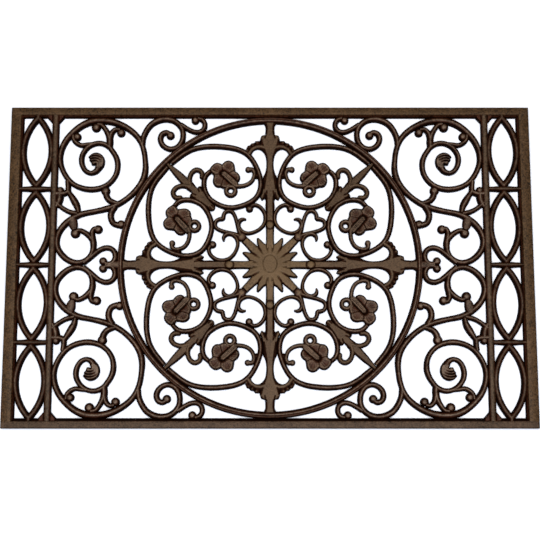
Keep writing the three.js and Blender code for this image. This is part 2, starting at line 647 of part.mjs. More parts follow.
// The two side panels and end borders are half a turn apart.
[["right", "top", "bottom"], ["left", "bottom", "top"]].forEach(([side, upper, lower], i) => {
  const half = turnedGroup(i * Math.PI);
  [upper, lower].forEach((level, j) => {
    member(`side_scroll_${level}_${side}`, sideScrolls[j], ribColour, { parent: half });
    member(`corner_scroll_${level}_${side}`, cornerScrolls[j], ribColour, { parent: half });
  });
  member(`side_crest_${side}`, crest, ribColour, { parent: half });
  member(`mullion_${side}`, mullion, ribColour, { parent: half });
  const numberFromBelow = (list, j) => (i === 0 ? j + 1 : list.length - j);
  lenses.forEach((lens, j) => {
    member(`lens_${side}_${numberFromBelow(lenses, j)}`, lens, ribColour, { parent: half });
  });
  bars.forEach((bar, j) => {
    member(`lens_bar_${side}_${numberFromBelow(bars, j)}`, bar, leafColour, { parent: half });
  });
});

export default mat;
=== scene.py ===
"""Looks of the cast iron door mat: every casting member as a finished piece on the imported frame."""

import math

import bpy
import numpy as np
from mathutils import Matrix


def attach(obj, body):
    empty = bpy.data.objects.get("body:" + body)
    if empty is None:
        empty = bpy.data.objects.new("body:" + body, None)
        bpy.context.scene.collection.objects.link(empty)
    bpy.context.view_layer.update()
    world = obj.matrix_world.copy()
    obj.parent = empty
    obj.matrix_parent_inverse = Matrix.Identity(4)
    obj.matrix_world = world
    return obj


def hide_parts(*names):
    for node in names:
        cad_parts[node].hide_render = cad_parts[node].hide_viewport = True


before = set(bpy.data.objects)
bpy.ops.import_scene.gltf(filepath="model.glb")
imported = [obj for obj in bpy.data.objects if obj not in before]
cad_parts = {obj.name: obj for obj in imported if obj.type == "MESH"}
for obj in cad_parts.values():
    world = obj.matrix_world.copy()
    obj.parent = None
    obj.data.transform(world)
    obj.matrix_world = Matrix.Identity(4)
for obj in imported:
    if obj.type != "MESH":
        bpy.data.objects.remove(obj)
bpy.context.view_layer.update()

# Everything below is drawn in millimetres; one millimetre in metres:
MM = 0.001

# Frame
MAT_LENGTH = 740
MAT_WIDTH = 457
LONG_RAIL_WIDTH = 14.2
SIDE_RAIL_WIDTH = 17.5
RAIL_HEIGHT = 10
RAIL_OUTER_ROUND = 1.3
RAIL_INNER_SLOPE = 3.4
FRONT_RAIL_SLOPE = 4.5
RAIL_INNER_WALL = 4.4

# Borders at the two ends
MULLION_WIDTH = 10
LENS_CELL_WIDTH = 40.8
LENS_RIB = 9.4
LENS_SIDE_INSET = 0.3
LENS_TIP_INSET = 0.2
LENS_STEM_NARROWER = 1
LENS_STEM_OVERLAP = 2
LENS_PAST_CELL = 0.6
BAR_MIDDLE = 9.6
BAR_SHOULDER = 7.4
BAR_END = 6.4
GUSSET_LENGTH = 8.5
GUSSET_WIDTH = 7.5
INTO_MULLION = 1.5
PAST_SLOPE = 1
BAR_PAST_SLOPE = 0.5

# Medallion
RING_WIDTH = 9.9
RING_INTO_RAIL = 0.9
EYE_HOLE = 3
PISTIL_BROADER = 1.28

# Ribs, and the heights of what they carry. A relief rises from its foot to its top.
RIB_THICKNESS = 7.8
UNDERSIDE = 1
RIB_TOP = 9.2
LEAF_TOP = 8.8
WEB_TOP = 7.6
GUSSET_TOP = 8.9
SHELL_TOP = 9.2
SHELL_STEP = 3.7
ARM_WEB = 7.3
DIAGONAL_TOP = 8.65
BAR_TOP = 9.6
ROSETTE_TOP = 9.5
SPOKE_TOP = 9.48
BUTTON_TOP = 9.8
KNOB_TOP = 9.42
BOSS_TOP = 9.2
LEAF_FOOT = 4.5
ROSETTE_FOOT = 5

# Steps round a circle, along a rail and along an arc, and on each span of a smooth line
RING_STEPS = 720
EYE_STEPS = 36
RAIL_STEPS = 60
ARC_STEPS = 80
SPAN_STEPS = 24

# Edges that turn by more than this are shaded sharp.
SHARP_EDGE = math.radians(50)

# Places that follow
RAIL_INNER_Y = MAT_WIDTH / 2 - LONG_RAIL_WIDTH
RAIL_INNER_X = MAT_LENGTH / 2 - SIDE_RAIL_WIDTH
MULLION_OUTER_X = RAIL_INNER_X - LENS_CELL_WIDTH
MULLION_X = MULLION_OUTER_X - MULLION_WIDTH / 2
MULLION_INNER_X = MULLION_OUTER_X - MULLION_WIDTH
LENS_X = (MULLION_OUTER_X + RAIL_INNER_X) / 2
LENS_CELL_HEIGHT = (RAIL_INNER_Y - 1.5 * BAR_MIDDLE) / 2
LENS_STEP = LENS_CELL_HEIGHT + BAR_MIDDLE
RING_OUTER = RAIL_INNER_Y + RING_INTO_RAIL
RING_INNER = RING_OUTER - RING_WIDTH
SLOPE_TOP_Y = RAIL_INNER_Y + FRONT_RAIL_SLOPE
SIDE_RAIL_END = SLOPE_TOP_Y + 2

# The ornament is drawn at the pattern size below and fitted to the sizes above.
PATTERN_RING = 214.9
PATTERN_RAIL = 214
PATTERN_MULLION = 302
PATTERN_RIB = 7.2


def on_medallion(points):
    """Pattern points on the medallion, which grows with the ring. Widths and radii grow with the
    thickness of the ribs."""
    share = [RING_OUTER / PATTERN_RING, RING_OUTER / PATTERN_RING, RIB_THICKNESS / PATTERN_RIB]
    points = np.array(points, float)
    return points * share[: points.shape[-1]]


def on_panel(points):
    """Pattern points on a side panel: y grows with the room between the long rails, and x keeps its
    share of the way from the ring to the mullion at that y."""
    points = np.array(points, float)
    y = points[..., 1] * RAIL_INNER_Y / PATTERN_RAIL
    drawn_ring = np.sqrt(np.maximum(0, PATTERN_RING**2 - points[..., 1] ** 2))
    ring = np.sqrt(np.maximum(0, RING_OUTER**2 - y**2))
    stretch = (MULLION_INNER_X - ring) / (PATTERN_MULLION - drawn_ring)
    x = ring + (points[..., 0] - drawn_ring) * stretch
    rest = points[..., 2:] * RIB_THICKNESS / PATTERN_RIB
    return np.concatenate([np.stack([x, y], axis=-1), rest], axis=-1)


# Point lists: x and y of the middle of a rib, and its width at the foot, for the quarter with x and
# y positive. Outlines have x and y only, buttons their radius.
FLOWER_SCROLL_LINE = on_medallion([
  [140.7, 146.3, 6], [133, 152.9, 6.8], [122, 161.4, 6.8], [110, 167.8, 7], [96, 171.2, 7.2],
  [80, 172.2, 7.4], [64, 171.2, 7.4], [50, 168.8, 7.3], [38, 164.2, 7.2], [29.5, 157.5, 7],
  [22.3, 147.5, 6.8], [16.6, 135, 6.8], [13.2, 121, 6.9], [14.3, 108, 7], [19.4, 97.5, 7],
  [27, 91, 7], [38, 85.8, 7], [50, 82.7, 6.9], [60, 82.8, 6.9], [70, 85.6, 6.8],
  [79, 90.4, 6.8], [85.5, 95.7, 6.6], [89.4, 101.5, 6.5], [92.4, 108.5, 6.6],
  [93.9, 117, 6.9], [93, 125, 6.9], [90.2, 130.4, 6.6], [86.2, 134.4, 6],
])

FLOWER_TWIG_LINE = on_medallion([
  [49, 113.4, 6], [38, 114.2, 5.6], [31, 116.8, 5.5], [25.5, 121.5, 5.5], [22.8, 128, 5.3],
  [22.4, 133.5, 5.4], [25.2, 137.7, 6], [30.5, 137.7, 6.8],
])
FLOWER_TWIG_WEB = on_medallion([[24, 129.5, 8], [15.5, 128.5, 8]])
FLOWER_TWIG_END = on_medallion([31, 137.7, 3.9])
FLOWER_OUTLINE = on_medallion([
  [80.4, 130.2], [84.4, 133.2], [86, 137.2], [84.4, 141.4], [81.2, 145.2], [77, 147.7],
  [72.3, 147.5], [68.2, 145.5], [65.4, 148.7], [61.6, 150.8], [57.4, 150.9], [53.2, 148.9],
  [50.6, 145], [49.8, 140], [48.8, 135.2], [45.4, 132.6], [43, 129], [42.3, 125],
  [43.5, 121.4], [46.4, 118.6], [50.8, 116], [56, 112.6], [61.5, 109.6], [66.4, 110],
  [70.4, 111.6], [74.6, 111.8], [78.2, 113.8], [80.6, 117.4], [81.3, 121.8], [80.6, 126.4],
])
FLOWER_PISTIL_LINE = on_medallion([[66.4, 131.8, 5.2], [58, 124.4, 6], [48, 115, 6.2]])
FLOWER_EYE = on_medallion([55.7, 106.6, 9.1])

HEART_LOOP_LINE = on_medallion([
  [41.5, 43.5, 7], [44.6, 52, 5.6], [46.8, 61, 5.2], [49.8, 70.5, 5.2], [53.6, 76.2, 5.2],
  [58.8, 77.6, 5.4], [63.6, 75.4, 5.4], [65.6, 71.2, 5.6],
])
HEART_NOTCH = on_medallion([66.4, 66.4, 5.8])
HEART_CURL_LINE = on_medallion([
  [33.6, 64.7, 2], [37.4, 65.6, 4.2], [41.6, 64.2, 5.6], [44.4, 59.3, 5.6], [43.2, 53, 5.2],
  [39.5, 48.4, 5.2], [34, 45.7, 5.2], [28, 45.5, 4.8], [21, 47.6, 4.8], [14.3, 51.6, 5],
  [9, 57.5, 5.2], [6.6, 65, 5.4], [7.2, 73, 5.4], [10.8, 80, 5.4], [16.5, 84.8, 5.4],
  [22.5, 86.2, 5.4], [27, 83.8, 6],
])
HEART_KNOB = on_medallion([29, 80.6, 4.8])
HEART_BOSS = on_medallion([40, 40, 5.5])
HEART_SPOKE = on_medallion([[34.8, 34.8, 9.6], [28, 28, 10.9], [20, 20, 12.6]])
HEART_SPOKE_WEB = on_medallion([[39, 39, 9], [33, 33, 10.4]])

DIAGONAL_HOOK_LINE = on_medallion([
  [112, 112, 8.5], [114.6, 121, 7.6], [113.6, 128, 6.4], [110.6, 134, 6.6], [105, 137.5, 6.8],
  [99.6, 136.2, 6.7], [96.6, 132.2, 6.7], [97, 127, 6],
])
DIAGONAL_HALF = on_medallion([
  [144.7, 148.3], [138.3, 143.2], [128.2, 135.6], [118.8, 127.3], [112.5, 121], [108.6, 118],
  [105.5, 113.6], [102.8, 110.4], [101.9, 113], [98.1, 114], [95.4, 111.4], [91.4, 103.5],
  [87, 96], [82, 89.5], [77.9, 85.4], [77.9, 80.4],
])
DIAGONAL_TIP = on_medallion([78.9, 78.9])

ARM_LEAF_HALF = on_medallion([
  [9.5, 207.5], [8.6, 205], [6.9, 202], [6.4, 199], [6.9, 188.8], [11.8, 188], [13.4, 184.5],
  [14.3, 179.9], [20.5, 179.9], [22.6, 177.2], [26.8, 176.2], [28.8, 173.6], [31.7, 172.8],
  [33.3, 169.5], [35, 164], [31, 156.5], [26.8, 157.5], [25.8, 161.3], [23, 165.3],
  [18.5, 167.4], [14, 166.8], [9.7, 163.5], [6.6, 158], [5.3, 150], [5.4, 140], [7.3, 132],
  [9.2, 128.2], [10.2, 124], [10.2, 112], [12.4, 101], [14.4, 98], [11.7, 92.4], [7.3, 95.6],
])
ARM_STEM_HALF = on_medallion([
  [6.3, 92.5], [6.6, 84], [5.8, 78], [5.3, 66], [6, 56], [5.7, 48], [5.8, 29],
])
ARM_BOSS = on_medallion([0, 57, 4.9])

ROSETTE_EIGHTH = on_medallion([
  [5.3, 29.5], [8.4, 31], [12.8, 35.6], [16.4, 38.9], [18.6, 38.2], [18.6, 33], [17.2, 27.4],
])

CORNER_SCROLL_LINE = on_panel([
  [182.3, 174.5, 7.4], [181.2, 185, 7.8], [176.6, 196, 8], [169.6, 205, 8.4], [160, 210.4, 8.6],
  [149.5, 212.2, 8.2], [139, 210.3, 8], [131, 205, 8], [125.8, 197.5, 7.6], [124.3, 188, 7.7],
  [126.3, 178.2, 7.8], [132.8, 170.4, 7.6], [141.8, 168, 7.2], [149.6, 170.8, 7.2],
  [155, 176.6, 7.6], [156.8, 183.5, 7.8], [154.2, 190, 7.8], [148, 192.4, 7.5], [142.5, 189, 7],
])
CORNER_SCROLL_KNOB = on_panel([142.3, 187.9, 5.5])
CORNER_BRANCH_LINE = on_panel([
  [127.5, 204, 7], [117, 197.3, 6.6], [108, 193.4, 6.6], [100, 193.5, 6.8], [94.6, 198, 7],
  [93.3, 205, 7], [96.8, 211, 7], [103, 213.2, 6.5],
])
CORNER_BRANCH_KNOB = on_panel([107, 210.2, 5.3])

SIDE_SCROLL_LINE = on_panel([
  [243.6, 142.5, 10], [247.5, 136, 8.2], [254.3, 132.8, 6.4], [261.5, 135.2, 6.6],
  [266.5, 141.5, 7], [269, 150, 7.4], [268.3, 158.5, 7.2], [264.5, 166, 7], [258, 172.4, 6.8],
  [248.5, 176.4, 6.8], [239, 176, 7], [229.8, 171, 7.2], [225, 165, 7.2], [220.8, 158.5, 7.4],
  [217.7, 150, 7.8], [217.2, 140, 7.4], [219.6, 130, 7.1], [225.4, 121, 7], [233.5, 114.3, 7.1],
  [243.3, 110.3, 7.6], [255, 109, 7.8], [268, 111.2, 7.4], [279.3, 116.4, 7], [288.6, 125.3, 7.2],
  [296, 138, 7.2], [299.6, 151, 7.6], [298.5, 165, 7.8], [292.5, 180, 8.6], [282.3, 192.6, 9],
  [269.5, 203, 9.4], [256.5, 208.7, 10], [243, 210.3, 10], [229.5, 209.2, 9.6],
  [215.5, 204.8, 9], [202.3, 197.6, 8.4], [191.7, 188.6, 8], [184.6, 178.2, 7.5],
  [180, 165, 7.3], [177.9, 151, 7.3], [177.3, 138, 8.2], [179.8, 125, 8.6], [185.5, 114, 8.2],
  [193.3, 104.3, 8], [202.5, 95.8, 7.6], [212.5, 89, 7.8], [222.5, 84, 8], [235, 80, 8],
  [249, 76.8, 7.4], [262, 74.3, 7.8], [271.5, 71.4, 8.4], [280.5, 66.3, 8.8], [290, 58.5, 9],
  [297.3, 48.6, 8.4], [301, 36.5, 7.8], [299.6, 24.5, 8], [293, 14.2, 8.4], [283, 6.4, 8],
  [271, 3, 7.8], [260.6, 5.7, 7.6], [253, 12.3, 7.4], [249.6, 21, 7.4], [248.9, 30, 8.8],
  [250.6, 38.5, 8.8],
])
PALMETTE_OUTLINE = on_panel([
  [249.6, 139.6], [248.2, 145.2], [251, 144], [254.2, 144.2], [255.4, 148.2], [257.9, 151],
  [257.4, 153.6], [259.6, 156.2], [254.5, 161.2], [248.5, 163], [242, 161], [237.5, 156.5],
  [235.5, 150], [236.6, 143], [240.4, 137],
])
SIDE_TWIG_LINES = [
  [[229.8, 170, 9], [229.2, 180, 9.4], [230.8, 187.5, 8.6], [235.8, 197, 7], [241, 203.2, 7],
    [247, 204.6, 7]],
  [[229.3, 183, 8.6], [226.8, 191.5, 7.4], [221.5, 196.8, 6.6], [215, 196.2, 6.2]],
  [[252.5, 175.8, 5], [261, 174.6, 6], [269.5, 173.6, 6.3], [276.5, 176.8, 6.5], [281, 182.3, 6.5],
    [281.8, 188, 6.5]],
  [[213.5, 88.4, 5], [220.5, 89.8, 7], [227.3, 92.8, 8], [231.8, 98.8, 8.6], [233.4, 107, 9]],
  [[288, 121, 7], [287, 112, 7.2], [287, 104, 8]],
  [[285.5, 106, 7], [293.5, 103, 8.5], [304, 102.5, 10]],
  [[298.6, 103, 8.5], [298.6, 97, 10.4], [300.2, 90, 9.6], [303.4, 83.5, 7]],
  [[287, 106.5, 6.2], [283, 100.3, 7.8], [277.8, 92, 9.6], [273.8, 84.5, 8.8], [271.3, 75.5, 6]],
  [[303.5, 89.5, 6.5], [298.8, 85.4, 6.4], [292, 80.3, 6.2], [284.3, 76.4, 6.6], [273, 73.4, 7]],
  [[220, 84, 9], [224.8, 75, 8.6], [224.9, 67, 8.4], [221.3, 60, 8], [213, 56.6, 8]],
  [[250, 36, 8.8], [251, 46, 7.6], [248.4, 51.6, 6.8], [243, 51.8, 6.5]],
  [[250, 35.5, 8], [256.5, 42.8, 7.8], [262.5, 47, 7], [269, 49.4, 6.6], [275, 47.2, 6.6]],
]
SIDE_KNOBS = on_panel([
  [249.2, 199.7, 6.1], [213.2, 191.8, 5.6], [276, 185.8, 5.5], [233.3, 106.5, 6.1],
  [298, 107.2, 5], [210.2, 58, 5.6], [242.5, 50.8, 5.8], [275, 45, 6.2],
])
SIDE_STUB = on_panel([[281, 68, 10], [279.5, 63, 12], [278, 56.5, 11.6], [276.2, 50.5, 7]])

SIDE_CREST_LINE = on_panel([
  [262, 2.8, 6.5], [253, 10.4, 7.2], [246, 16.6, 7.3], [238.5, 22, 7], [230, 24.6, 7.3],
  [222, 22.2, 7.2], [217.7, 15.5, 7.6], [217.9, 8.5, 7.6], [221.5, 3, 7], [228, 1.4, 6.6],
  [233.5, 4, 5],
])
SIDE_CREST_STEM = on_panel([[212, 0, 11.5], [222, 0, 8.6], [231, 0, 8]])
SIDE_CREST_KNOB = on_panel([234.5, 5.2, 5.3])


# Sections of the castings: across from the left edge to the right edge as a share of half the
# width, and up as a share of the height.
def both_sides(half):
    """A section from its left half: the right half is the same half mirrored."""
    return np.array(half + [(-across, up) for across, up in half[-2::-1]])


RIB_SECTION = both_sides([
    (1, 0), (0.985, 0.3), (0.95, 0.48), (0.86, 0.66), (0.72, 0.8), (0.52, 0.9), (0.3, 0.962),
    (0.13, 0.993), (0, 1),
])
SPINDLE_SECTION = both_sides([
    (1, 0), (0.98, 0.4), (0.9, 0.6), (0.75, 0.76), (0.5, 0.88), (0.25, 0.97), (0, 1),
])
FLAT_SECTION = both_sides([
    (1, 0), (0.985, 0.5), (0.95, 0.72), (0.88, 0.86), (0.78, 0.94), (0.62, 0.98), (0.4, 0.995),
    (0, 1),
])
PISTIL_SECTION = both_sides([
    (1, 0), (0.985, 0.5), (0.94, 0.78), (0.84, 0.92), (0.66, 0.98), (0.48, 1), (0.3, 0.97),
    (0.14, 0.9), (0, 0.88),
])
EYE_SECTION = np.array([
    (1, 0), (0.96, 0.5), (0.8, 0.72), (0.5, 0.9), (0.2, 0.99), (0, 1), (-0.2, 0.98), (-0.45, 0.9),
    (-0.7, 0.8), (-0.9, 0.6), (-0.98, 0.35), (-1, 0),
])
MULLION_SECTION = both_sides([
    (1, 0), (0.99, 0.45), (0.96, 0.66), (0.89, 0.8), (0.78, 0.89), (0.62, 0.95), (0.4, 0.985),
    (0.14, 1), (0, 1),
])
RING_SECTION = np.array([
    (1, 0), (0.985, 0.32), (0.95, 0.5), (0.85, 0.68), (0.68, 0.82), (0.45, 0.92), (0.2, 0.985),
    (0.04, 1), (-0.1, 0.98), (-0.2, 0.92), (-0.29, 0.905), (-0.42, 0.96), (-0.6, 0.965),
    (-0.76, 0.88), (-0.89, 0.7), (-0.97, 0.45), (-0.99, 0.3), (-1, 0),
])
POLE_SHARE = 0.03
KNOB_PROFILE = np.array([
    (1, 0), (1, 0.36), (0.975, 0.52), (0.91, 0.67), (0.8, 0.8), (0.64, 0.9), (0.45, 0.96),
    (0.22, 0.992), (POLE_SHARE, 1),
])
BOSS_PROFILE = np.array([
    (1.1, 0), (1.08, 0.4), (1.05, 0.62), (1, 0.8), (0.92, 0.91), (0.8, 0.955), (0.6, 0.975),
    (0.4, 0.99), (0.2, 0.998), (0.02, 1),
])

# Hands: how a drawn quarter is mirrored or turned. The quarter turns go round to the left.
AS_DRAWN = np.array([[1, 0], [0, 1]])
ACROSS_X = np.array([[-1, 0], [0, 1]])
ACROSS_Y = np.array([[1, 0], [0, -1]])
DIAGONALLY = np.array([[0, 1], [1, 0]])
QUARTER_TURN = np.array([[0, -1], [1, 0]])
QUARTER_TURNS = [np.linalg.matrix_power(QUARTER_TURN, turns) for turns in range(4)]


def placed(skin, *hands):
    """The skin with its points taken through each hand; a mirroring hand turns its faces round."""
    points, quads, caps = skin
    matrix = AS_DRAWN
    for hand in hands:
        matrix = hand @ matrix
    points = np.column_stack([points[:, :2] @ matrix.T, points[:, 2]])
    if np.linalg.det(matrix) < 0:
        return points, quads[:, ::-1], [cap[::-1] for cap in caps]
    return points, quads, caps


def tube(rows, loop=False):
    """A closed skin over rows of points: quads from row to row, and a flat cap on each end row."""
    index = np.arange(rows.shape[0] * rows.shape[1]).reshape(rows.shape[:2])
    after = np.roll(index, -1, axis=0)
    stop = None if loop else -1
    corners = [index, np.roll(index, -1, axis=1), np.roll(after, -1, axis=1), after]
    quads = np.stack([corner[:stop] for corner in corners], axis=-1).reshape(-1, 4)
    caps = [] if loop else [index[0][::-1], index[-1]]
    return rows.reshape(-1, 3), quads, caps


def smooth_line(points, spacing=1.5):
    """The smooth line through the points, read off at even steps. On each span
    P(t) = (2t^3 - 3t^2 + 1) P1 + (t^3 - 2t^2 + t) M1 + (3t^2 - 2t^3) P2 + (t^3 - t^2) M2,
    where M is the span's knot times the slope at its end, and a knot is the root of its length."""
    p = np.asarray(points, float)
    p = np.vstack([2 * p[0] - p[1], p, 2 * p[-1] - p[-2]])
    step = np.diff(p, axis=0)
    knot = np.sqrt(np.linalg.norm(step, axis=1))[:, None]
    slope = (step / knot)[:-1] + (step / knot)[1:] - (p[2:] - p[:-2]) / (knot[1:] + knot[:-1])
    m1, m2 = slope[:-1] * knot[1:-1], slope[1:] * knot[1:-1]
    t = np.linspace(0, 1, SPAN_STEPS, endpoint=False)[None, :, None]
    fine = (
        (2 * t**3 - 3 * t**2 + 1) * p[1:-2, None]
        + (t**3 - 2 * t**2 + t) * m1[:, None]
        + (3 * t**2 - 2 * t**3) * p[2:-1, None]
        + (t**3 - t**2) * m2[:, None]
    )
    fine = np.vstack([fine.reshape(-1, p.shape[1]), p[-2]])
    along = np.concatenate([[0], np.cumsum(np.linalg.norm(np.diff(fine[:, :2], axis=0), axis=1))])
    even = np.linspace(0, along[-1], max(2, math.ceil(along[-1] / spacing) + 1))
    return np.stack([np.interp(even, along, column) for column in fine.T], axis=1)


def carried(line, section, top, loop=False):
    """A section carried along a line of x, y and width w. With the side direction s square to the
    line, the point for across a and up u is (x, y) + s a w / 2, at height underside + u (top -
    underside)."""
    x, y, width = line.T
    ahead = np.roll(line, -1, axis=0) - np.roll(line, 1, axis=0)
    if not loop:
        ahead[0], ahead[-1] = line[1] - line[0], line[-1] - line[-2]
    ahead = ahead[:, :2] / np.linalg.norm(ahead[:, :2], axis=1)[:, None]
    across = width[:, None] / 2 * section[:, 0]
    rows = np.stack([
        x[:, None] - ahead[:, 1:] * across,
        y[:, None] + ahead[:, :1] * across,
        np.broadcast_to(UNDERSIDE + (top - UNDERSIDE) * section[:, 1], across.shape),
    ], axis=-1)
    return tube(rows, loop)


def rib(points, top=RIB_TOP, section=RIB_SECTION):
    """A cast rib along the smooth line through its points."""
    return carried(smooth_line(points), section, top)


def turned_profile(profile, x, y, radius, top, sides=28):
    """A profile turned about an upright axis: for share r of the radius and share u of the height,
    the point at angle a is (x + R r cos a, y + R r sin a, underside + u (top - underside))."""
    angle = np.linspace(0, 2 * np.pi, sides, endpoint=False)
    reach = radius * profile[:, :1]
    rows = np.stack([
        x + reach * np.cos(angle),
        y + reach * np.sin(angle),
        np.broadcast_to(UNDERSIDE + (top - UNDERSIDE) * profile[:, 1:], (len(profile), sides)),
    ], axis=-1)
    return tube(rows)


def knob(point, top=KNOB_TOP):
    """A round knob at the end of a curl."""
    return turned_profile(KNOB_PROFILE, *point, top)


def round_end(point, top=RIB_TOP):
    """The rounded end of a rib that stops in the open: its section turned about the last point,
    with a tiny flat in place of the pole."""
    half = RIB_SECTION[: len(RIB_SECTION) // 2 + 1].copy()
    half[-1, 0] = POLE_SHARE
    return turned_profile(half, point[0], point[1], point[2] / 2, top)


def circle_line(x, y, inner, outer, steps):
    """The circle in the middle between two radii, (x + R cos a, y + R sin a), with its width."""
    angle = np.linspace(0, 2 * np.pi, steps, endpoint=False)
    radius = (outer + inner) / 2
    width = np.full(steps, outer - inner)
    return np.column_stack([x + radius * np.cos(angle), y + radius * np.sin(angle), width])


def smooth_outline(points, sharp=50, spacing=0.9):
    """A closed outline through the points, smooth except where it turns by more than sharp
    degrees."""
    p = np.asarray(points, float)
    p = p[np.linalg.norm(p - np.roll(p, 1, axis=0), axis=1) > 0]
    before, after = p - np.roll(p, 1, axis=0), np.roll(p, -1, axis=0) - p
    turn = np.arctan2(after[:, 1], after[:, 0]) - np.arctan2(before[:, 1], before[:, 0])
    turn = np.abs(np.degrees(np.arctan2(np.sin(turn), np.cos(turn))))
    corners = np.flatnonzero(turn > sharp)
    runs = np.split(np.roll(p, -corners[0], axis=0), corners[1:] - corners[0])
    ends = [run[0] for run in runs[1:]] + [runs[0][0]]
    return np.vstack([
        smooth_line(np.vstack([run, end]), spacing)[:-1] for run, end in zip(runs, ends)
    ])


def edge_distance(x, y, outline):
    """Distance from each place to the outline, positive inside, and the nearest place on it. On an
    edge A to B that is A + c (B - A), where c = (P - A).(B - A) / |B - A|^2, kept in 0 to 1."""
    nearest = np.full(x.shape, np.inf)
    near_x, near_y = np.zeros(x.shape), np.zeros(x.shape)
    inside = np.zeros(x.shape, bool)
    for (ax, ay), (bx, by) in zip(outline, np.roll(outline, -1, axis=0)):
        dx, dy = bx - ax, by - ay
        share = np.clip(((x - ax) * dx + (y - ay) * dy) / (dx * dx + dy * dy), 0, 1)
        edge_x, edge_y = ax + share * dx, ay + share * dy
        distance = np.hypot(x - edge_x, y - edge_y)
        closer = distance < nearest
        nearest = np.where(closer, distance, nearest)
        near_x, near_y = np.where(closer, edge_x, near_x), np.where(closer, edge_y, near_y)
        if ay != by:
            inside ^= ((ay > y) != (by > y)) & (x < ax + dx * (y - ay) / dy)
    return np.where(inside, nearest, -nearest), near_x, near_y


def line_distance(x, y, points):
    """Distance from each place to an open line of points."""
    nearest = np.full(x.shape, np.inf)
    for (ax, ay), (bx, by) in zip(points[:-1], points[1:]):
        dx, dy = bx - ax, by - ay
        share = np.clip(((x - ax) * dx + (y - ay) * dy) / (dx * dx + dy * dy), 0, 1)
        nearest = np.minimum(nearest, np.hypot(x - ax - share * dx, y - ay - share * dy))
    return nearest


def bell(distance, depth, width):
    """The depth of a soft groove or ridge at a distance: depth e^(-(distance / width)^2)."""
    return depth * np.exp(-((distance / width) ** 2))


def rising(top, inside, reach=2.2, foot=LEAF_FOOT):
    """Height of a relief that rises from its foot at the edge to its top at reach inside it:
    foot + (top - foot) (1 - (1 - inside / reach)^2)."""
    return foot + (top - foot) * (1 - (1 - np.clip(inside / reach, 0, 1)) ** 2)


def plateau(room, slope=1.3):
    """From 0 where there is no room left to 1 on the flat: t^2 (3 - 2 t) with t = room / slope."""
    t = np.clip(room / slope, 0, 1)
    return t * t * (3 - 2 * t)


def relief(outline, height, step=0.55):
    """A leaf or plate: a grid over the outline, raised to height(x, y, inside), whose rim points
    are moved onto the outline. An upright edge and a flat underside close it."""
    low, high = outline.min(axis=0) - step, outline.max(axis=0) + step
    x, y = np.meshgrid(*(np.arange(a, b + step, step) for a, b in zip(low, high)))
    inside, near_x, near_y = edge_distance(x, y, outline)
    filled = inside[:-1, :-1] + inside[1:, :-1] + inside[:-1, 1:] + inside[1:, 1:] > 0
    room = np.pad(filled, 1).astype(int)
    touching = room[:-1, :-1] + room[1:, :-1] + room[:-1, 1:] + room[1:, 1:]
    rim = (touching > 0) & (touching < 4)
    x, y, inside = np.where(rim, near_x, x), np.where(rim, near_y, y), np.where(rim, 0, inside)
    used = touching > 0
    number = np.where(used, np.cumsum(used).reshape(used.shape) - 1, -1)
    upper = np.stack([x, y, height(x, y, inside)], axis=-1)[used]
    lower = np.column_stack([upper[:, :2], np.full(len(upper), UNDERSIDE)])
    a, b, c, d = number[:-1, :-1], number[:-1, 1:], number[1:, 1:], number[1:, :-1]
    faces = [np.stack([a, b, c, d], axis=-1)[filled]]
    faces.append(faces[0][:, ::-1] + len(upper))
    empty = ~np.pad(filled, 1)
    sides = [
        (a, b, empty[:-2, 1:-1]),
        (b, c, empty[1:-1, 2:]),
        (c, d, empty[2:, 1:-1]),
        (d, a, empty[1:-1, :-2]),
    ]
    for start, end, open_side in sides:
        p, q = start[filled & open_side], end[filled & open_side]
        faces.append(np.stack([p + len(upper), q + len(upper), q, p], axis=-1))
    return np.vstack([upper, lower]), np.vstack(faces), []


# Materials. A Mix node's sockets for colours share their names with others, so they go by number.
MIX_FACTOR, MIX_FIRST, MIX_SECOND, MIX_COLOUR = 0, 6, 7, 2


class Socket:
    """A node's output in a material, with arithmetic that adds Math nodes."""

    def __init__(self, tree, output=None):
        self.tree = tree
        self.output = output

    def node(self, kind, settings=None, inputs=None, output=0):
        """Adds a node, sets its settings and its inputs, and gives one of its outputs."""
        made = self.tree.nodes.new(kind)
        for name, value in (settings or {}).items():
            setattr(made, name, value)
        for name, value in (inputs or {}).items():
            if isinstance(value, Socket):
                self.tree.links.new(value.output, made.inputs[name])
            else:
                made.inputs[name].default_value = value
        return Socket(self.tree, made.outputs[output] if made.outputs else None)

    def math(self, operation, first, second):
        """The outcome of an operation on two values."""
        return self.node("ShaderNodeMath", {"operation": operation}, {0: first, 1: second})

    def __add__(self, other):
        return self.math("ADD", self, other)

    def __sub__(self, other):
        return self.math("SUBTRACT", self, other)

    def __mul__(self, other):
        return self.math("MULTIPLY", self, other)

    def __truediv__(self, other):
        return self.math("DIVIDE", self, other)

    def __radd__(self, other):
        return self.math("ADD", other, self)

    def __rsub__(self, other):
        return self.math("SUBTRACT", other, self)

    def __rmul__(self, other):
        return self.math("MULTIPLY", other, self)

    def __rtruediv__(self, other):
        return self.math("DIVIDE", other, self)

    def between(self, low, high):
        """Smoothly from 0 at low to 1 at high."""
        inputs = {"Value": self, "From Min": low, "From Max": high}
        return self.node("ShaderNodeMapRange", {"interpolation_type": "SMOOTHSTEP"}, inputs)

    def blend(self, first, second):
        """The first colour where this is 0, the second where it is 1."""
        inputs = {MIX_FACTOR: self, MIX_FIRST: first, MIX_SECOND: second}
        return self.node("ShaderNodeMix", {"data_type": "RGBA"}, inputs, output=MIX_COLOUR)

    def noise(self, scale, detail=2, roughness=0.5):
        """Noise from 0 to 1 at this place, scale waves to the metre."""
        inputs = {"Vector": self, "Scale": scale, "Detail": detail, "Roughness": roughness}
        return self.node("ShaderNodeTexNoise", {}, inputs)


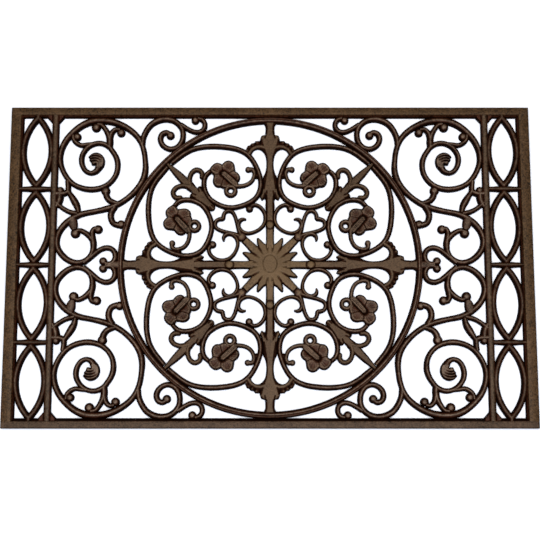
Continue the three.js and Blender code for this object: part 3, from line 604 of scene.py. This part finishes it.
def shade(code):
    """A colour for a shader from its written form, such as 5a4a36. A part p of 1 in that form is
    ((p + 0.055) / 1.055)^2.4 as light, or p / 12.92 where it is very dark."""
    parts = np.array([int(code[i : i + 2], 16) for i in (0, 2, 4)]) / 255
    linear = np.where(parts <= 0.04045, parts / 12.92, ((parts + 0.055) / 1.055) ** 2.4)
    return (*(float(part) for part in linear), 1)


# The first colour below is black painted shade for the walls and the hollows.
PAINTED_SHADE = "0b0301"
RUST = "2c140b"
OLIVE = "483827"

# Waves to the metre of the clouds, the mottle, the sand grain and the pits of cast iron
CLOUDS, MOTTLE, GRAIN, PITS = 22, 140, 480, 1300
# Olive fades out between these two distances from the centre of the mat, rust this far above the
# underside. The mottle moves the edge between two colours by up to half of LEVEL_STRAY.
OLIVE_INSIDE, OLIVE_OUTSIDE = 61, 68
UNDERSIDE_RUST = 0.6
LEVEL_STRAY = 0.4


def cast_iron(name, brown, worn_and_highlight, low, middle, high, sand=1.3):
    """Oiled cast iron: rusty underneath, black and matt on the walls and in the hollows up to low as
    painted shade, then rusty, brown from middle up and lighter towards high with wear and a painted
    highlight on the crests, olive round the rosette, with cloudy patches, sand grain and fine pits.
    Heights in mm."""
    material = bpy.data.materials.new(name)
    material.use_nodes = True
    tree = material.node_tree
    tree.nodes.clear()
    start = Socket(tree)
    place = start.node("ShaderNodeTexCoord", output="Object")
    height = start.node("ShaderNodeSeparateXYZ", {}, {"Vector": place}, output="Z") / MM
    reach = start.node(
        "ShaderNodeVectorMath", {"operation": "LENGTH"}, {"Vector": place}, output="Value"
    )
    cloud = place.noise(CLOUDS, 3)
    mottle = place.noise(MOTTLE, 3, 0.6)
    grain = place.noise(GRAIN, 2, 0.7).between(0.3, 0.7)
    pits = place.noise(PITS, 1)
    level = height + (mottle - 0.5) * LEVEL_STRAY
    rusty_at = 0.5 * (low + middle)
    # The second mask, from middle to high, lightens the tops: wear and a painted highlight on the
    # crests.
    bare, rubbed_and_highlit = level.between(low, middle), level.between(middle, high)
    olive = reach.between(OLIVE_OUTSIDE * MM, OLIVE_INSIDE * MM) * rubbed_and_highlit
    # Black painted shade on the walls and in the hollows up to low, then rust, then brown from
    # middle.
    colour = level.between(low, rusty_at).blend(shade(PAINTED_SHADE), shade(RUST))
    colour = level.between(rusty_at, middle).blend(colour, shade(brown))
    colour = rubbed_and_highlit.blend(colour, shade(worn_and_highlight))
    colour = olive.blend(colour, shade(OLIVE))
    colour = height.between(UNDERSIDE + UNDERSIDE_RUST, UNDERSIDE).blend(colour, shade(RUST))
    tone = 1 + (cloud - 0.5) * 0.8 + (mottle - 0.5) * 0.7 * sand + (grain - 0.5) * sand
    toned = start.node(
        "ShaderNodeVectorMath", {"operation": "SCALE"}, {"Vector": colour, "Scale": tone}
    )
    roughness = 0.46 + 0.2 * grain + 0.1 * mottle
    skin = start.node(
        "ShaderNodeBump",
        {},
        {"Height": 0.5 * grain + 0.5 * pits + 1.2 * mottle, "Strength": 0.7, "Distance": 0.5 * MM},
    )
    surface = start.node(
        "ShaderNodeBsdfPrincipled",
        {},
        {
            "Base Color": toned,
            "Roughness": roughness,
            "Normal": skin,
            "Metallic": 0.85 * bare,
            "Specular IOR Level": 0.01,
            "Coat Weight": 0.08 * bare,
            "Coat Roughness": 0.35,
        },
    )
    start.node("ShaderNodeOutputMaterial", {}, {"Surface": surface})
    return material


# Each iron: brown, the lighter colour of the tops (wear and painted highlight), and the heights low,
# middle and high; below low it is black painted shade.
rib_iron = cast_iron("rib_iron", "2b1c13", "504238", 8.25, 8.95, 9.28)
lens_iron = cast_iron("lens_iron", "28190f", "44362c", 8.35, 9, 9.35)
bar_iron = cast_iron("bar_iron", "2a1c12", "3b2e23", 8.2, 9.3, 9.65)
leaf_iron = cast_iron("leaf_iron", "2c1e14", "3f3023", 7.2, 8.3, 8.95, sand=1)
rosette_iron = cast_iron("rosette_iron", "392b1a", OLIVE, 8, 9, 9.5, sand=0.7)
flower_iron = cast_iron("flower_iron", "2e1c13", "493a2f", 7.4, 8.3, 9)
rail_iron = cast_iron("rail_iron", "312111", "443425", 5.4, 9.85, 10.3, sand=1.5)
# The front rail's copy of the rail iron: its lighter brown and top are painted light, and it is black
# painted shade up its inner slope to 8.9 mm.
front_rail_lit_shaded_iron = cast_iron("front_rail_lit_shaded_iron", "35271d", "4f4033", 8.9, 9.93, 10.3)


def cast(node, skins, material, *hands):
    """Takes closed skins through each hand and joins them in one finished piece that stands for
    the CAD node."""
    skins = [placed(skin, *hands) for skin in skins]
    starts = np.cumsum([0] + [len(points) for points, _, _ in skins])
    faces = [quads + start for (_, quads, _), start in zip(skins, starts)]
    caps = [cap + start for (_, _, skin_caps), start in zip(skins, starts) for cap in skin_caps]
    quads = np.vstack(faces)
    corners = np.concatenate([quads.ravel(), *caps])
    sizes = np.concatenate([np.full(len(quads), 4), [len(cap) for cap in caps]]).astype(int)
    mesh = bpy.data.meshes.new("cast_" + node)
    points = np.vstack([points for points, _, _ in skins]) * MM
    mesh.vertices.add(len(points))
    mesh.vertices.foreach_set("co", points.ravel())
    mesh.loops.add(len(corners))
    mesh.loops.foreach_set("vertex_index", corners)
    mesh.polygons.add(len(sizes))
    mesh.polygons.foreach_set("loop_start", np.concatenate([[0], np.cumsum(sizes)[:-1]]))
    mesh.update(calc_edges=True)
    mesh.shade_smooth()
    mesh.set_sharp_from_angle(angle=SHARP_EDGE)
    mesh.materials.append(material)
    piece = bpy.data.objects.new("cast_" + node, mesh)
    bpy.context.scene.collection.objects.link(piece)
    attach(piece, "root")
    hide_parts(node)


# Frame rails
def rail(length, width, slope=RAIL_INNER_SLOPE):
    """A rail along X with its outer side towards Y positive: the section from the outer edge
    inwards is carried along X, and the ends are rounded down like the outer edge. The top is dished
    by a hair, and the slope has a small round above and below it."""
    bevel, wall = RAIL_OUTER_ROUND, RAIL_INNER_WALL
    section = np.array([
        (0, 0), (0, RAIL_HEIGHT - bevel), (0.13 * bevel, RAIL_HEIGHT - 0.5 * bevel),
        (0.5 * bevel, RAIL_HEIGHT - 0.13 * bevel), (bevel, RAIL_HEIGHT),
        (0.45 * width, RAIL_HEIGHT - 0.06), (width - slope - 0.7, RAIL_HEIGHT),
        (width - slope - 0.1, RAIL_HEIGHT - 0.25), (width - slope + 0.4, RAIL_HEIGHT - 0.95),
        (width - 0.5, wall + 0.9), (width - 0.1, wall + 0.3), (width, wall - 0.6), (width, 0),
    ])
    part = np.array([0, 0.13, 0.5, 1])
    near_end = length / 2 - bevel * part
    middle = np.linspace(length / 2 - 2 * bevel, 2 * bevel - length / 2, RAIL_STEPS)
    x = np.concatenate([near_end, middle, -near_end[::-1]])
    end_drop = bevel * (1 - part) ** 2
    drop = np.concatenate([end_drop, np.zeros(RAIL_STEPS), end_drop[::-1]])
    across = np.broadcast_to(-section[:, 0], (len(x), len(section)))
    up = np.minimum(section[:, 1], RAIL_HEIGHT - drop[:, None])
    return tube(np.stack([np.broadcast_to(x[:, None], across.shape), across, up], axis=-1)[::-1])


def moved(skin, x, y):
    """The skin moved along x and y."""
    points, quads, caps = skin
    return points + [x, y, 0], quads, caps


back_rail = moved(rail(MAT_LENGTH, LONG_RAIL_WIDTH), 0, MAT_WIDTH / 2)
front_rail = moved(rail(MAT_LENGTH, LONG_RAIL_WIDTH, FRONT_RAIL_SLOPE), 0, MAT_WIDTH / 2)
side_rail = placed(rail(2 * SIDE_RAIL_END, SIDE_RAIL_WIDTH), QUARTER_TURNS[3])
side_rail = moved(side_rail, MAT_LENGTH / 2, 0)
cast("rail_top", [back_rail], rail_iron)
cast("rail_bottom", [front_rail], front_rail_lit_shaded_iron, QUARTER_TURNS[2])
cast("rail_right", [side_rail], rail_iron)
cast("rail_left", [side_rail], rail_iron, QUARTER_TURNS[2])

# Ring
ring_line = circle_line(0, 0, RING_INNER, RING_OUTER, RING_STEPS)
cast("ring", [carried(ring_line, RING_SECTION, RIB_TOP, loop=True)], rib_iron)


# Rosette: its creases lie at these angles of every quarter. They start at CREASE_START from the
# middle and have their whole depth CREASE_FADE farther out.
ROSETTE_VALLEYS = (9.5, 33.5, 56.5, 80.5)
ROSETTE_CREASE = (1.5, 1.1)
CREASE_START = 16
CREASE_FADE = 12
# The plate falls by DOME_DROP from its middle to DOME_REACH.
DOME_DROP = 0.25
DOME_REACH = 40
# The oval button: half its width and length, its middle, its mean radius, its rise and how steep
# that is, and the depth and width of the line round it
OVAL_HALF_WIDTH = 10
OVAL_HALF_LENGTH = 12.5
OVAL_Y = 1.5
OVAL_RADIUS = 11
OVAL_RISE = 0.25
OVAL_STEEP = 18
OVAL_LINE = (0.5, 0.6)


def rosette_outline():
    """The rosette's outline: an eighth of it, mirrored and turned four times."""
    quarter = np.vstack([ROSETTE_EIGHTH, ROSETTE_EIGHTH[::-1, ::-1]])
    return smooth_outline(np.vstack([quarter @ QUARTER_TURNS[-turns % 4].T for turns in range(4)]))


def rosette_height(x, y, inside):
    """A flat plate with a crease between every two rays, and an oval button with a fine line
    round it: height = top - dome - creases(angle) - line(distance from the oval) + the button's
    rise, which is OVAL_RISE / (1 + e^(OVAL_STEEP oval)) with oval negative inside the button."""
    reach, angle = np.hypot(x, y), np.arctan2(y, x)
    fade = np.clip((reach - CREASE_START) / CREASE_FADE, 0, 1)
    crease = np.zeros(x.shape)
    for valley in np.radians(ROSETTE_VALLEYS):
        away = np.sin(np.mod(angle - valley + np.pi / 4, np.pi / 2) - np.pi / 4) * reach
        crease = crease + fade * bell(away, *ROSETTE_CREASE)
    oval = np.hypot(x / OVAL_HALF_WIDTH, (y - OVAL_Y) / OVAL_HALF_LENGTH) - 1
    rise = OVAL_RISE / (1 + np.exp(np.clip(oval * OVAL_STEEP, -30, 30)))
    dome = DOME_DROP * (reach / DOME_REACH) ** 2
    top = ROSETTE_TOP - dome - crease - bell(oval * OVAL_RADIUS, *OVAL_LINE) + rise
    return rising(top, inside, foot=ROSETTE_FOOT)


cast("rosette", [relief(rosette_outline(), rosette_height)], rosette_iron)


# Leaf arms. Half the width of the arm's raised middle at each distance from the centre of the mat:
# stem, spear with its broad end inwards, neck, fan and the stem at the ring.
ARM_RAISED = [
    (24, 5.8), (30, 5.5), (36, 4.9), (92, 4.5), (98, 4.8), (103, 7.2), (107, 8.6), (120, 6.8),
    (134, 4.6), (150, 4.1), (158, 4.9), (165, 7.4), (172, 9.6), (178, 11.4), (184, 12.6),
    (187, 10.5), (189, 5), (199, 4.4), (205, 5.4), (208, 7),
]
ARM_WING_RIDGE = [(7, 169.5), (13, 171.6), (19, 171), (25.5, 167.4), (30.5, 160.5)]
ARM_BARB_RIDGE = [(8.2, 107), (13.2, 94.5)]
ARM_WING_BEADS = [(12.6, 183.5), (18.8, 177.4), (25, 174), (30.3, 170.4), (33, 165.6)]
ARM_CREASES = [
    [(6.6, 94), (4.4, 106)], [(5.6, 191), (7, 184)], [(14.2, 181), (13.6, 176.5)],
    [(21.4, 179.5), (20.4, 174)], [(27.4, 176.5), (25.6, 171.5)], [(32.2, 172.5), (29.6, 167.5)],
]
# The stem's height above the rosette's top, from the rosette's rim to where it is level again
ARM_FLUSH_END = 46
ARM_FLUSH = [(24, -0.4), (29, 0.06), (34, 0.06), (ARM_FLUSH_END, LEAF_TOP - ROSETTE_TOP)]
# Half widths of the ridges, and the beads
WING_RIDGE_HALF = 3.1
BARB_RIDGE_HALF = 2.9
BEAD_RADIUS = 2.9
BEAD_LIFT = 0.9
WING_SLOPE = 2
# Depth and width of a crease, the groove round a boss, the seat under the boss, and how far
# inside its outline the arm has its whole height
CREASE = (1.3, 0.7)
BOSS_GROOVE_RADIUS = 6.2
BOSS_GROOVE = (1.3, 0.6)
BOSS_SEAT_RADIUS = 4.5
BOSS_SEAT_DEPTH = 1.2
ARM_EDGE = 1.4


def creased(along, off, lines):
    """How deep the creases along these lines are at each place."""
    return sum(bell(line_distance(along, off, line), *CREASE) for line in lines)


def arm_height(x, y, inside):
    """A raised flat middle, barbs at the spear's end, and wings with a ridge and a row of beads.
    Each of them lifts the low web by its plateau, and creases are cut between them. The stem rises
    to run flush over the rosette's rim."""
    side = np.abs(x)
    half = np.interp(y, *np.transpose(ARM_RAISED))
    wing = WING_RIDGE_HALF - line_distance(side, y, ARM_WING_RIDGE)
    barb = BARB_RIDGE_HALF - line_distance(side, y, ARM_BARB_RIDGE)
    lift = np.maximum(plateau(half - side), np.maximum(plateau(wing, WING_SLOPE), plateau(barb)))
    for bead_x, bead_y in ARM_WING_BEADS:
        bead = plateau(BEAD_RADIUS - np.hypot(side - bead_x, y - bead_y), WING_SLOPE)
        lift = np.maximum(lift, BEAD_LIFT * bead)
    boss = np.hypot(x, y - ARM_BOSS[1])
    cut = creased(side, y, ARM_CREASES) + bell(boss - BOSS_GROOVE_RADIUS, *BOSS_GROOVE)
    cut = cut + BOSS_SEAT_DEPTH * (boss < BOSS_SEAT_RADIUS)
    flush = np.interp(y, *np.transpose(ARM_FLUSH))
    raised = np.where(y < ARM_FLUSH_END, ROSETTE_TOP + flush, LEAF_TOP)
    return rising(ARM_WEB + (raised - ARM_WEB) * lift - cut, inside, ARM_EDGE)


def mirror_outline(half, hand):
    """A closed outline from the half on one side, mirrored by the hand."""
    return smooth_outline(np.vstack([half, (half @ hand.T)[::-1]]))


# The arm's stem ends in a tip that is a little broader, under the rosette's rim.
arm_root = ARM_STEM_HALF[-1] + [1.2, -7]
arm_outline = mirror_outline(np.vstack([ARM_LEAF_HALF, ARM_STEM_HALF, arm_root]), ACROSS_X)
arm = [relief(arm_outline, arm_height), turned_profile(BOSS_PROFILE, *ARM_BOSS, BOSS_TOP)]
for side, turn in zip(("top", "left", "bottom", "right"), QUARTER_TURNS):
    cast("leaf_arm_" + side, arm, leaf_iron, turn)

# Diagonal arms. Half the width of the raised middle at each distance from the centre of the mat.
DIAGONAL_RAISED = [
    (111, 2.6), (115, 4.4), (122, 4.2), (130, 5.2), (138, 7.2), (146, 9), (150, 8.2), (153, 4.4),
    (160, 4.8), (166, 5.2), (175, 5), (190, 3.8), (207, 2.4),
]
DIAGONAL_CREASES = [[(153, 6.4), (145.5, 3.4)], [(149, 11), (143, 7)], [(111, 2.6), (119, 2)]]


def diagonal_height(x, y, inside):
    """The same raised flat middle and creases as on a leaf arm, along the diagonal."""
    along, off = (x + y) / math.sqrt(2), np.abs(x - y) / math.sqrt(2)
    lift = plateau(np.interp(along, *np.transpose(DIAGONAL_RAISED)) - off)
    top = ARM_WEB + (DIAGONAL_TOP - ARM_WEB) * lift - creased(along, off, DIAGONAL_CREASES)
    return rising(top, inside, ARM_EDGE)


diagonal_outline = mirror_outline(np.vstack([DIAGONAL_HALF, DIAGONAL_TIP]), DIAGONALLY)
hook = [rib(DIAGONAL_HOOK_LINE), round_end(DIAGONAL_HOOK_LINE[-1])]
diagonal_arm = [relief(diagonal_outline, diagonal_height), *hook]
diagonal_arm += [placed(skin, DIAGONALLY) for skin in hook]

# Hearts
heart_loop = np.vstack([HEART_LOOP_LINE, HEART_NOTCH, HEART_LOOP_LINE[::-1, [1, 0, 2]]])
heart_curl = [rib(HEART_CURL_LINE), knob(HEART_KNOB)]
heart = [
    rib(heart_loop),
    rib(HEART_SPOKE, top=SPOKE_TOP, section=FLAT_SECTION),
    rib(HEART_SPOKE_WEB, top=WEB_TOP, section=FLAT_SECTION),
    turned_profile(BOSS_PROFILE, *HEART_BOSS, BOSS_TOP),
    *heart_curl,
    *(placed(skin, DIAGONALLY) for skin in heart_curl),
]

# Flower scrolls
FLOWER_SCROLL_TAIL = on_medallion([[89, 131.6, 6.4], [82.5, 137.6, 6]])
scroll = [
    rib(FLOWER_SCROLL_LINE),
    round_end(FLOWER_SCROLL_LINE[-1]),
    rib(FLOWER_SCROLL_TAIL, top=LEAF_TOP - 0.5),
]

# Flowers
FLOWER_MIDDLE = on_medallion((64, 128))
PETALS = on_medallion([(77.3, 139), (58.8, 142.3), (50.5, 125.8), (61.5, 118), (73.5, 121)])
# Depth and width of a petal's hollow, of the groove between two petals and of the pistil's bed
PETAL_HOLLOW = (0.6, 4.4)
PETAL_GROOVE = (1.1, 0.8)
PISTIL_BED = (2, 2.2)
PISTIL_HALF = 3.4
# The raised rim: how far it lies inside the outline, its height and its width
PETAL_RIM_INSIDE = 3.2
PETAL_RIM = (0.45, 1.2)
VEIN_COUNT = 30
VEIN_DEPTH = 0.14


def petal_height(x, y, inside):
    """Hollow petals with a raised rim and faint veins, parted by grooves where two petal middles
    are equally near, with a narrow bed sunk round the pistil."""
    near, next_near = np.sort([np.hypot(x - px, y - py) for px, py in PETALS], axis=0)[:2]
    pistil = line_distance(x, y, FLOWER_PISTIL_LINE[:, :2])
    around = np.arctan2(y - FLOWER_MIDDLE[1], x - FLOWER_MIDDLE[0])
    cut = bell(near, *PETAL_HOLLOW) + bell(next_near - near, *PETAL_GROOVE)
    cut = cut + bell(np.maximum(0, pistil - PISTIL_HALF), *PISTIL_BED)
    rim = bell(inside - PETAL_RIM_INSIDE, *PETAL_RIM)
    veins = VEIN_DEPTH * np.cos(around * VEIN_COUNT) * np.clip((pistil - 4) / 5, 0, 1)
    return rising(LEAF_TOP - 0.1 - cut + rim + veins, inside, 2.6)


pistil_line = FLOWER_PISTIL_LINE * [1, 1, PISTIL_BROADER]
eye_line = circle_line(*FLOWER_EYE[:2], EYE_HOLE, FLOWER_EYE[2], EYE_STEPS)
flower = [
    relief(smooth_outline(FLOWER_OUTLINE, sharp=48), petal_height),
    rib(pistil_line, top=BUTTON_TOP, section=PISTIL_SECTION),
    *(round_end(pistil_line[end] * [1, 1, 0.94], top=BUTTON_TOP - 0.3) for end in (0, -1)),
    rib(FLOWER_TWIG_LINE),
    rib(FLOWER_TWIG_WEB, top=WEB_TOP),
    knob(FLOWER_TWIG_END),
    carried(eye_line, EYE_SECTION, RIB_TOP, loop=True),
]

for corner, turn in zip(("top_right", "top_left", "bottom_left", "bottom_right"), QUARTER_TURNS):
    for number, hand in ((1, AS_DRAWN), (2, DIAGONALLY)):
        cast(f"flower_scroll_{corner}_{number}", scroll, rib_iron, hand, turn)
        cast(f"flower_{corner}_{number}", flower, flower_iron, hand, turn)
    cast("diagonal_arm_" + corner, diagonal_arm, leaf_iron, turn)
    cast("heart_" + corner, heart, rib_iron, turn)


# Side panels. The palmette's grooves have this depth and width, and fade out from the scalloped
# edge towards the smooth back: they end SHELL_BACK degrees round the root and are whole
# SHELL_FADE degrees before that.
PALMETTE_ROOT = on_panel([250, 141])
SHELL_GROOVE = (2, 0.8)
SHELL_BACK = 135
SHELL_FADE = 45


def palmette_height(x, y, inside):
    """Shell ribs round the palmette's root, with a groove between every two: the groove is
    d e^(-(s / w)^2) deep at s from its middle. It starts 6 mm from the root and is whole from 9."""
    across, up = x - PALMETTE_ROOT[0], y - PALMETTE_ROOT[1]
    away, turn = np.hypot(across, up), np.degrees(np.arctan2(up, across))
    off = np.abs(np.mod(away, SHELL_STEP) - SHELL_STEP / 2)
    fade = np.clip(away / 3 - 2, 0, 1) * np.clip((SHELL_BACK - turn) / SHELL_FADE, 0, 1)
    return rising(SHELL_TOP - bell(off, *SHELL_GROOVE) * fade, inside)


side_scroll = [
    rib(SIDE_SCROLL_LINE),
    relief(smooth_outline(PALMETTE_OUTLINE), palmette_height),
    *(rib(on_panel(twig)) for twig in SIDE_TWIG_LINES),
    *(knob(point) for point in SIDE_KNOBS),
    rib(SIDE_STUB, top=RIB_TOP - 0.1, section=FLAT_SECTION),
]
corner_scroll = [
    rib(CORNER_SCROLL_LINE),
    rib(CORNER_BRANCH_LINE),
    knob(CORNER_SCROLL_KNOB),
    knob(CORNER_BRANCH_KNOB),
]
crest_curl = [rib(SIDE_CREST_LINE), knob(SIDE_CREST_KNOB)]
side_crest = [
    *crest_curl,
    *(placed(skin, ACROSS_Y) for skin in crest_curl),
    rib(SIDE_CREST_STEM, top=RIB_TOP - 0.1, section=FLAT_SECTION),
]


def gusset(side, end):
    """A small corner web between the mullion and a long rail."""
    edge = MULLION_X + side * MULLION_WIDTH / 2
    far = SLOPE_TOP_Y + PAST_SLOPE
    outline = [
        (edge - side * INTO_MULLION, end * (RAIL_INNER_Y - GUSSET_LENGTH)),
        (edge - side * INTO_MULLION, end * far),
        (edge + side * GUSSET_WIDTH, end * far),
        (edge + side * GUSSET_WIDTH, end * RAIL_INNER_Y),
        (edge, end * (RAIL_INNER_Y - GUSSET_LENGTH)),
    ]
    shape = np.array(outline if side * end < 0 else outline[::-1], float)
    return relief(shape, lambda x, y, inside: rising(GUSSET_TOP, inside))


mullion_line = [[MULLION_X, end * (SLOPE_TOP_Y + PAST_SLOPE), MULLION_WIDTH] for end in (-1, 1)]
mullion = [rib(mullion_line, top=BAR_TOP, section=MULLION_SECTION)]
mullion += [gusset(side, end) for side in (1, -1) for end in (1, -1)]


def bar(y):
    """A spindle bar between the mullion and the side rail, thick in the middle."""
    third = LENS_CELL_WIDTH / 3
    line = [
        [MULLION_OUTER_X - INTO_MULLION, y, BAR_END],
        [LENS_X - third, y, BAR_SHOULDER],
        [LENS_X, y, BAR_MIDDLE],
        [LENS_X + third, y, BAR_SHOULDER],
        [RAIL_INNER_X + RAIL_INNER_SLOPE + BAR_PAST_SLOPE, y, BAR_END],
    ]
    return rib(line, top=BAR_TOP, section=SPINDLE_SECTION)


def lens_side(middle_y, side):
    """One side of a lens: an arc of radius r = (h^2 + c^2) / 2h through both crossings, where h is
    half the lens's width and c half its length."""
    half_width = LENS_CELL_WIDTH / 2 - LENS_SIDE_INSET
    crossing = LENS_CELL_HEIGHT / 2 - LENS_TIP_INSET
    radius = (half_width**2 + crossing**2) / (2 * half_width)
    reach = math.asin((LENS_CELL_HEIGHT / 2 + LENS_PAST_CELL) / radius)
    angle = np.linspace(-reach, reach, ARC_STEPS)
    x = LENS_X + side * (radius * np.cos(angle) - (radius - half_width))
    y = middle_y + radius * np.sin(angle)
    return carried(np.column_stack([x, y, np.full(len(x), LENS_RIB)]), RIB_SECTION, RIB_TOP)


def lens_stem(end):
    """The short stem in which the sides of an outer lens run over the slope of a long rail."""
    foot, tip = RAIL_INNER_Y - LENS_TIP_INSET - LENS_STEM_OVERLAP, SLOPE_TOP_Y + PAST_SLOPE
    thin = LENS_RIB - LENS_STEM_NARROWER
    return rib([[LENS_X, end * foot, LENS_RIB], [LENS_X, end * tip, thin]])


for side, upper, lower, turn in (
    ("right", "top", "bottom", QUARTER_TURNS[0]), ("left", "bottom", "top", QUARTER_TURNS[2])
):
    for level, hand in ((upper, AS_DRAWN), (lower, ACROSS_Y)):
        cast(f"side_scroll_{level}_{side}", side_scroll, rib_iron, hand, turn)
        cast(f"corner_scroll_{level}_{side}", corner_scroll, rib_iron, hand, turn)
    cast("side_crest_" + side, side_crest, rib_iron, turn)
    cast("mullion_" + side, mullion, bar_iron, turn)
    for row in range(4):
        number = row + 1 if side == "right" else 4 - row
        y = (row - 1.5) * LENS_STEP
        lens = [lens_side(y, 1), lens_side(y, -1)]
        if row in (0, 3):
            lens.append(lens_stem(-1 if row == 0 else 1))
        cast(f"lens_{side}_{number}", lens, lens_iron, turn)
    for row in range(3):
        number = row + 1 if side == "right" else 3 - row
        cast(f"lens_bar_{side}_{number}", [bar((row - 1) * LENS_STEP)], bar_iron, turn)

# Floor, light and camera
FLOOR_SIZE = 12
FLOOR_PAINT = {
    "Base Color": (0.6, 0.62, 0.69, 1), "Roughness": 0.9, "Specular IOR Level": 0.1,
}
CAMERA_PLACE = (0, -0.3207, 1.75)
CAMERA_TILT = math.radians(10.18)
CAMERA_LENS = 84.18
CAMERA_SENSOR = 36

floor_paint = bpy.data.materials.new("floor_paint")
floor_paint.use_nodes = True
for paint_input, value in FLOOR_PAINT.items():
    floor_paint.node_tree.nodes["Principled BSDF"].inputs[paint_input].default_value = value
bpy.ops.mesh.primitive_plane_add(size=FLOOR_SIZE, location=(0, 0, 0))
floor = bpy.context.object
floor.name = "floor"
floor.data.materials.append(floor_paint)

world = bpy.data.worlds.new("studio")
world.use_nodes = True
world.node_tree.nodes["Background"].inputs["Color"].default_value = (1, 1, 1, 1)
world.node_tree.nodes["Background"].inputs["Strength"].default_value = 0.2
bpy.context.scene.world = world


def soft_light(name, place, size, power, tint):
    """A square soft light at a place, facing the middle of the mat."""
    data = bpy.data.lights.new(name, "AREA")
    data.color = tint
    data.size = size
    data.energy = power
    light = bpy.data.objects.new(name, data)
    light.location = place
    x, y, z = place
    light.rotation_euler = (math.atan2(math.hypot(x, y), z), 0, math.atan2(x, -y))
    bpy.context.scene.collection.objects.link(light)


soft_light("overhead_softbox", (0, 0.1, 2.6), 2.4, 106, (1, 0.94, 0.81))
soft_light("front_softbox", (0, -0.6, 1.9), 1.5, 40, (0.82, 0.89, 1))

camera_data = bpy.data.cameras.new("camera")
camera_data.lens = CAMERA_LENS
camera_data.sensor_width = CAMERA_SENSOR
camera = bpy.data.objects.new("camera", camera_data)
camera.location = CAMERA_PLACE
camera.rotation_euler = (CAMERA_TILT, 0, 0)
bpy.context.scene.collection.objects.link(camera)
bpy.context.scene.camera = camera
bpy.context.scene.view_settings.view_transform = "Standard"
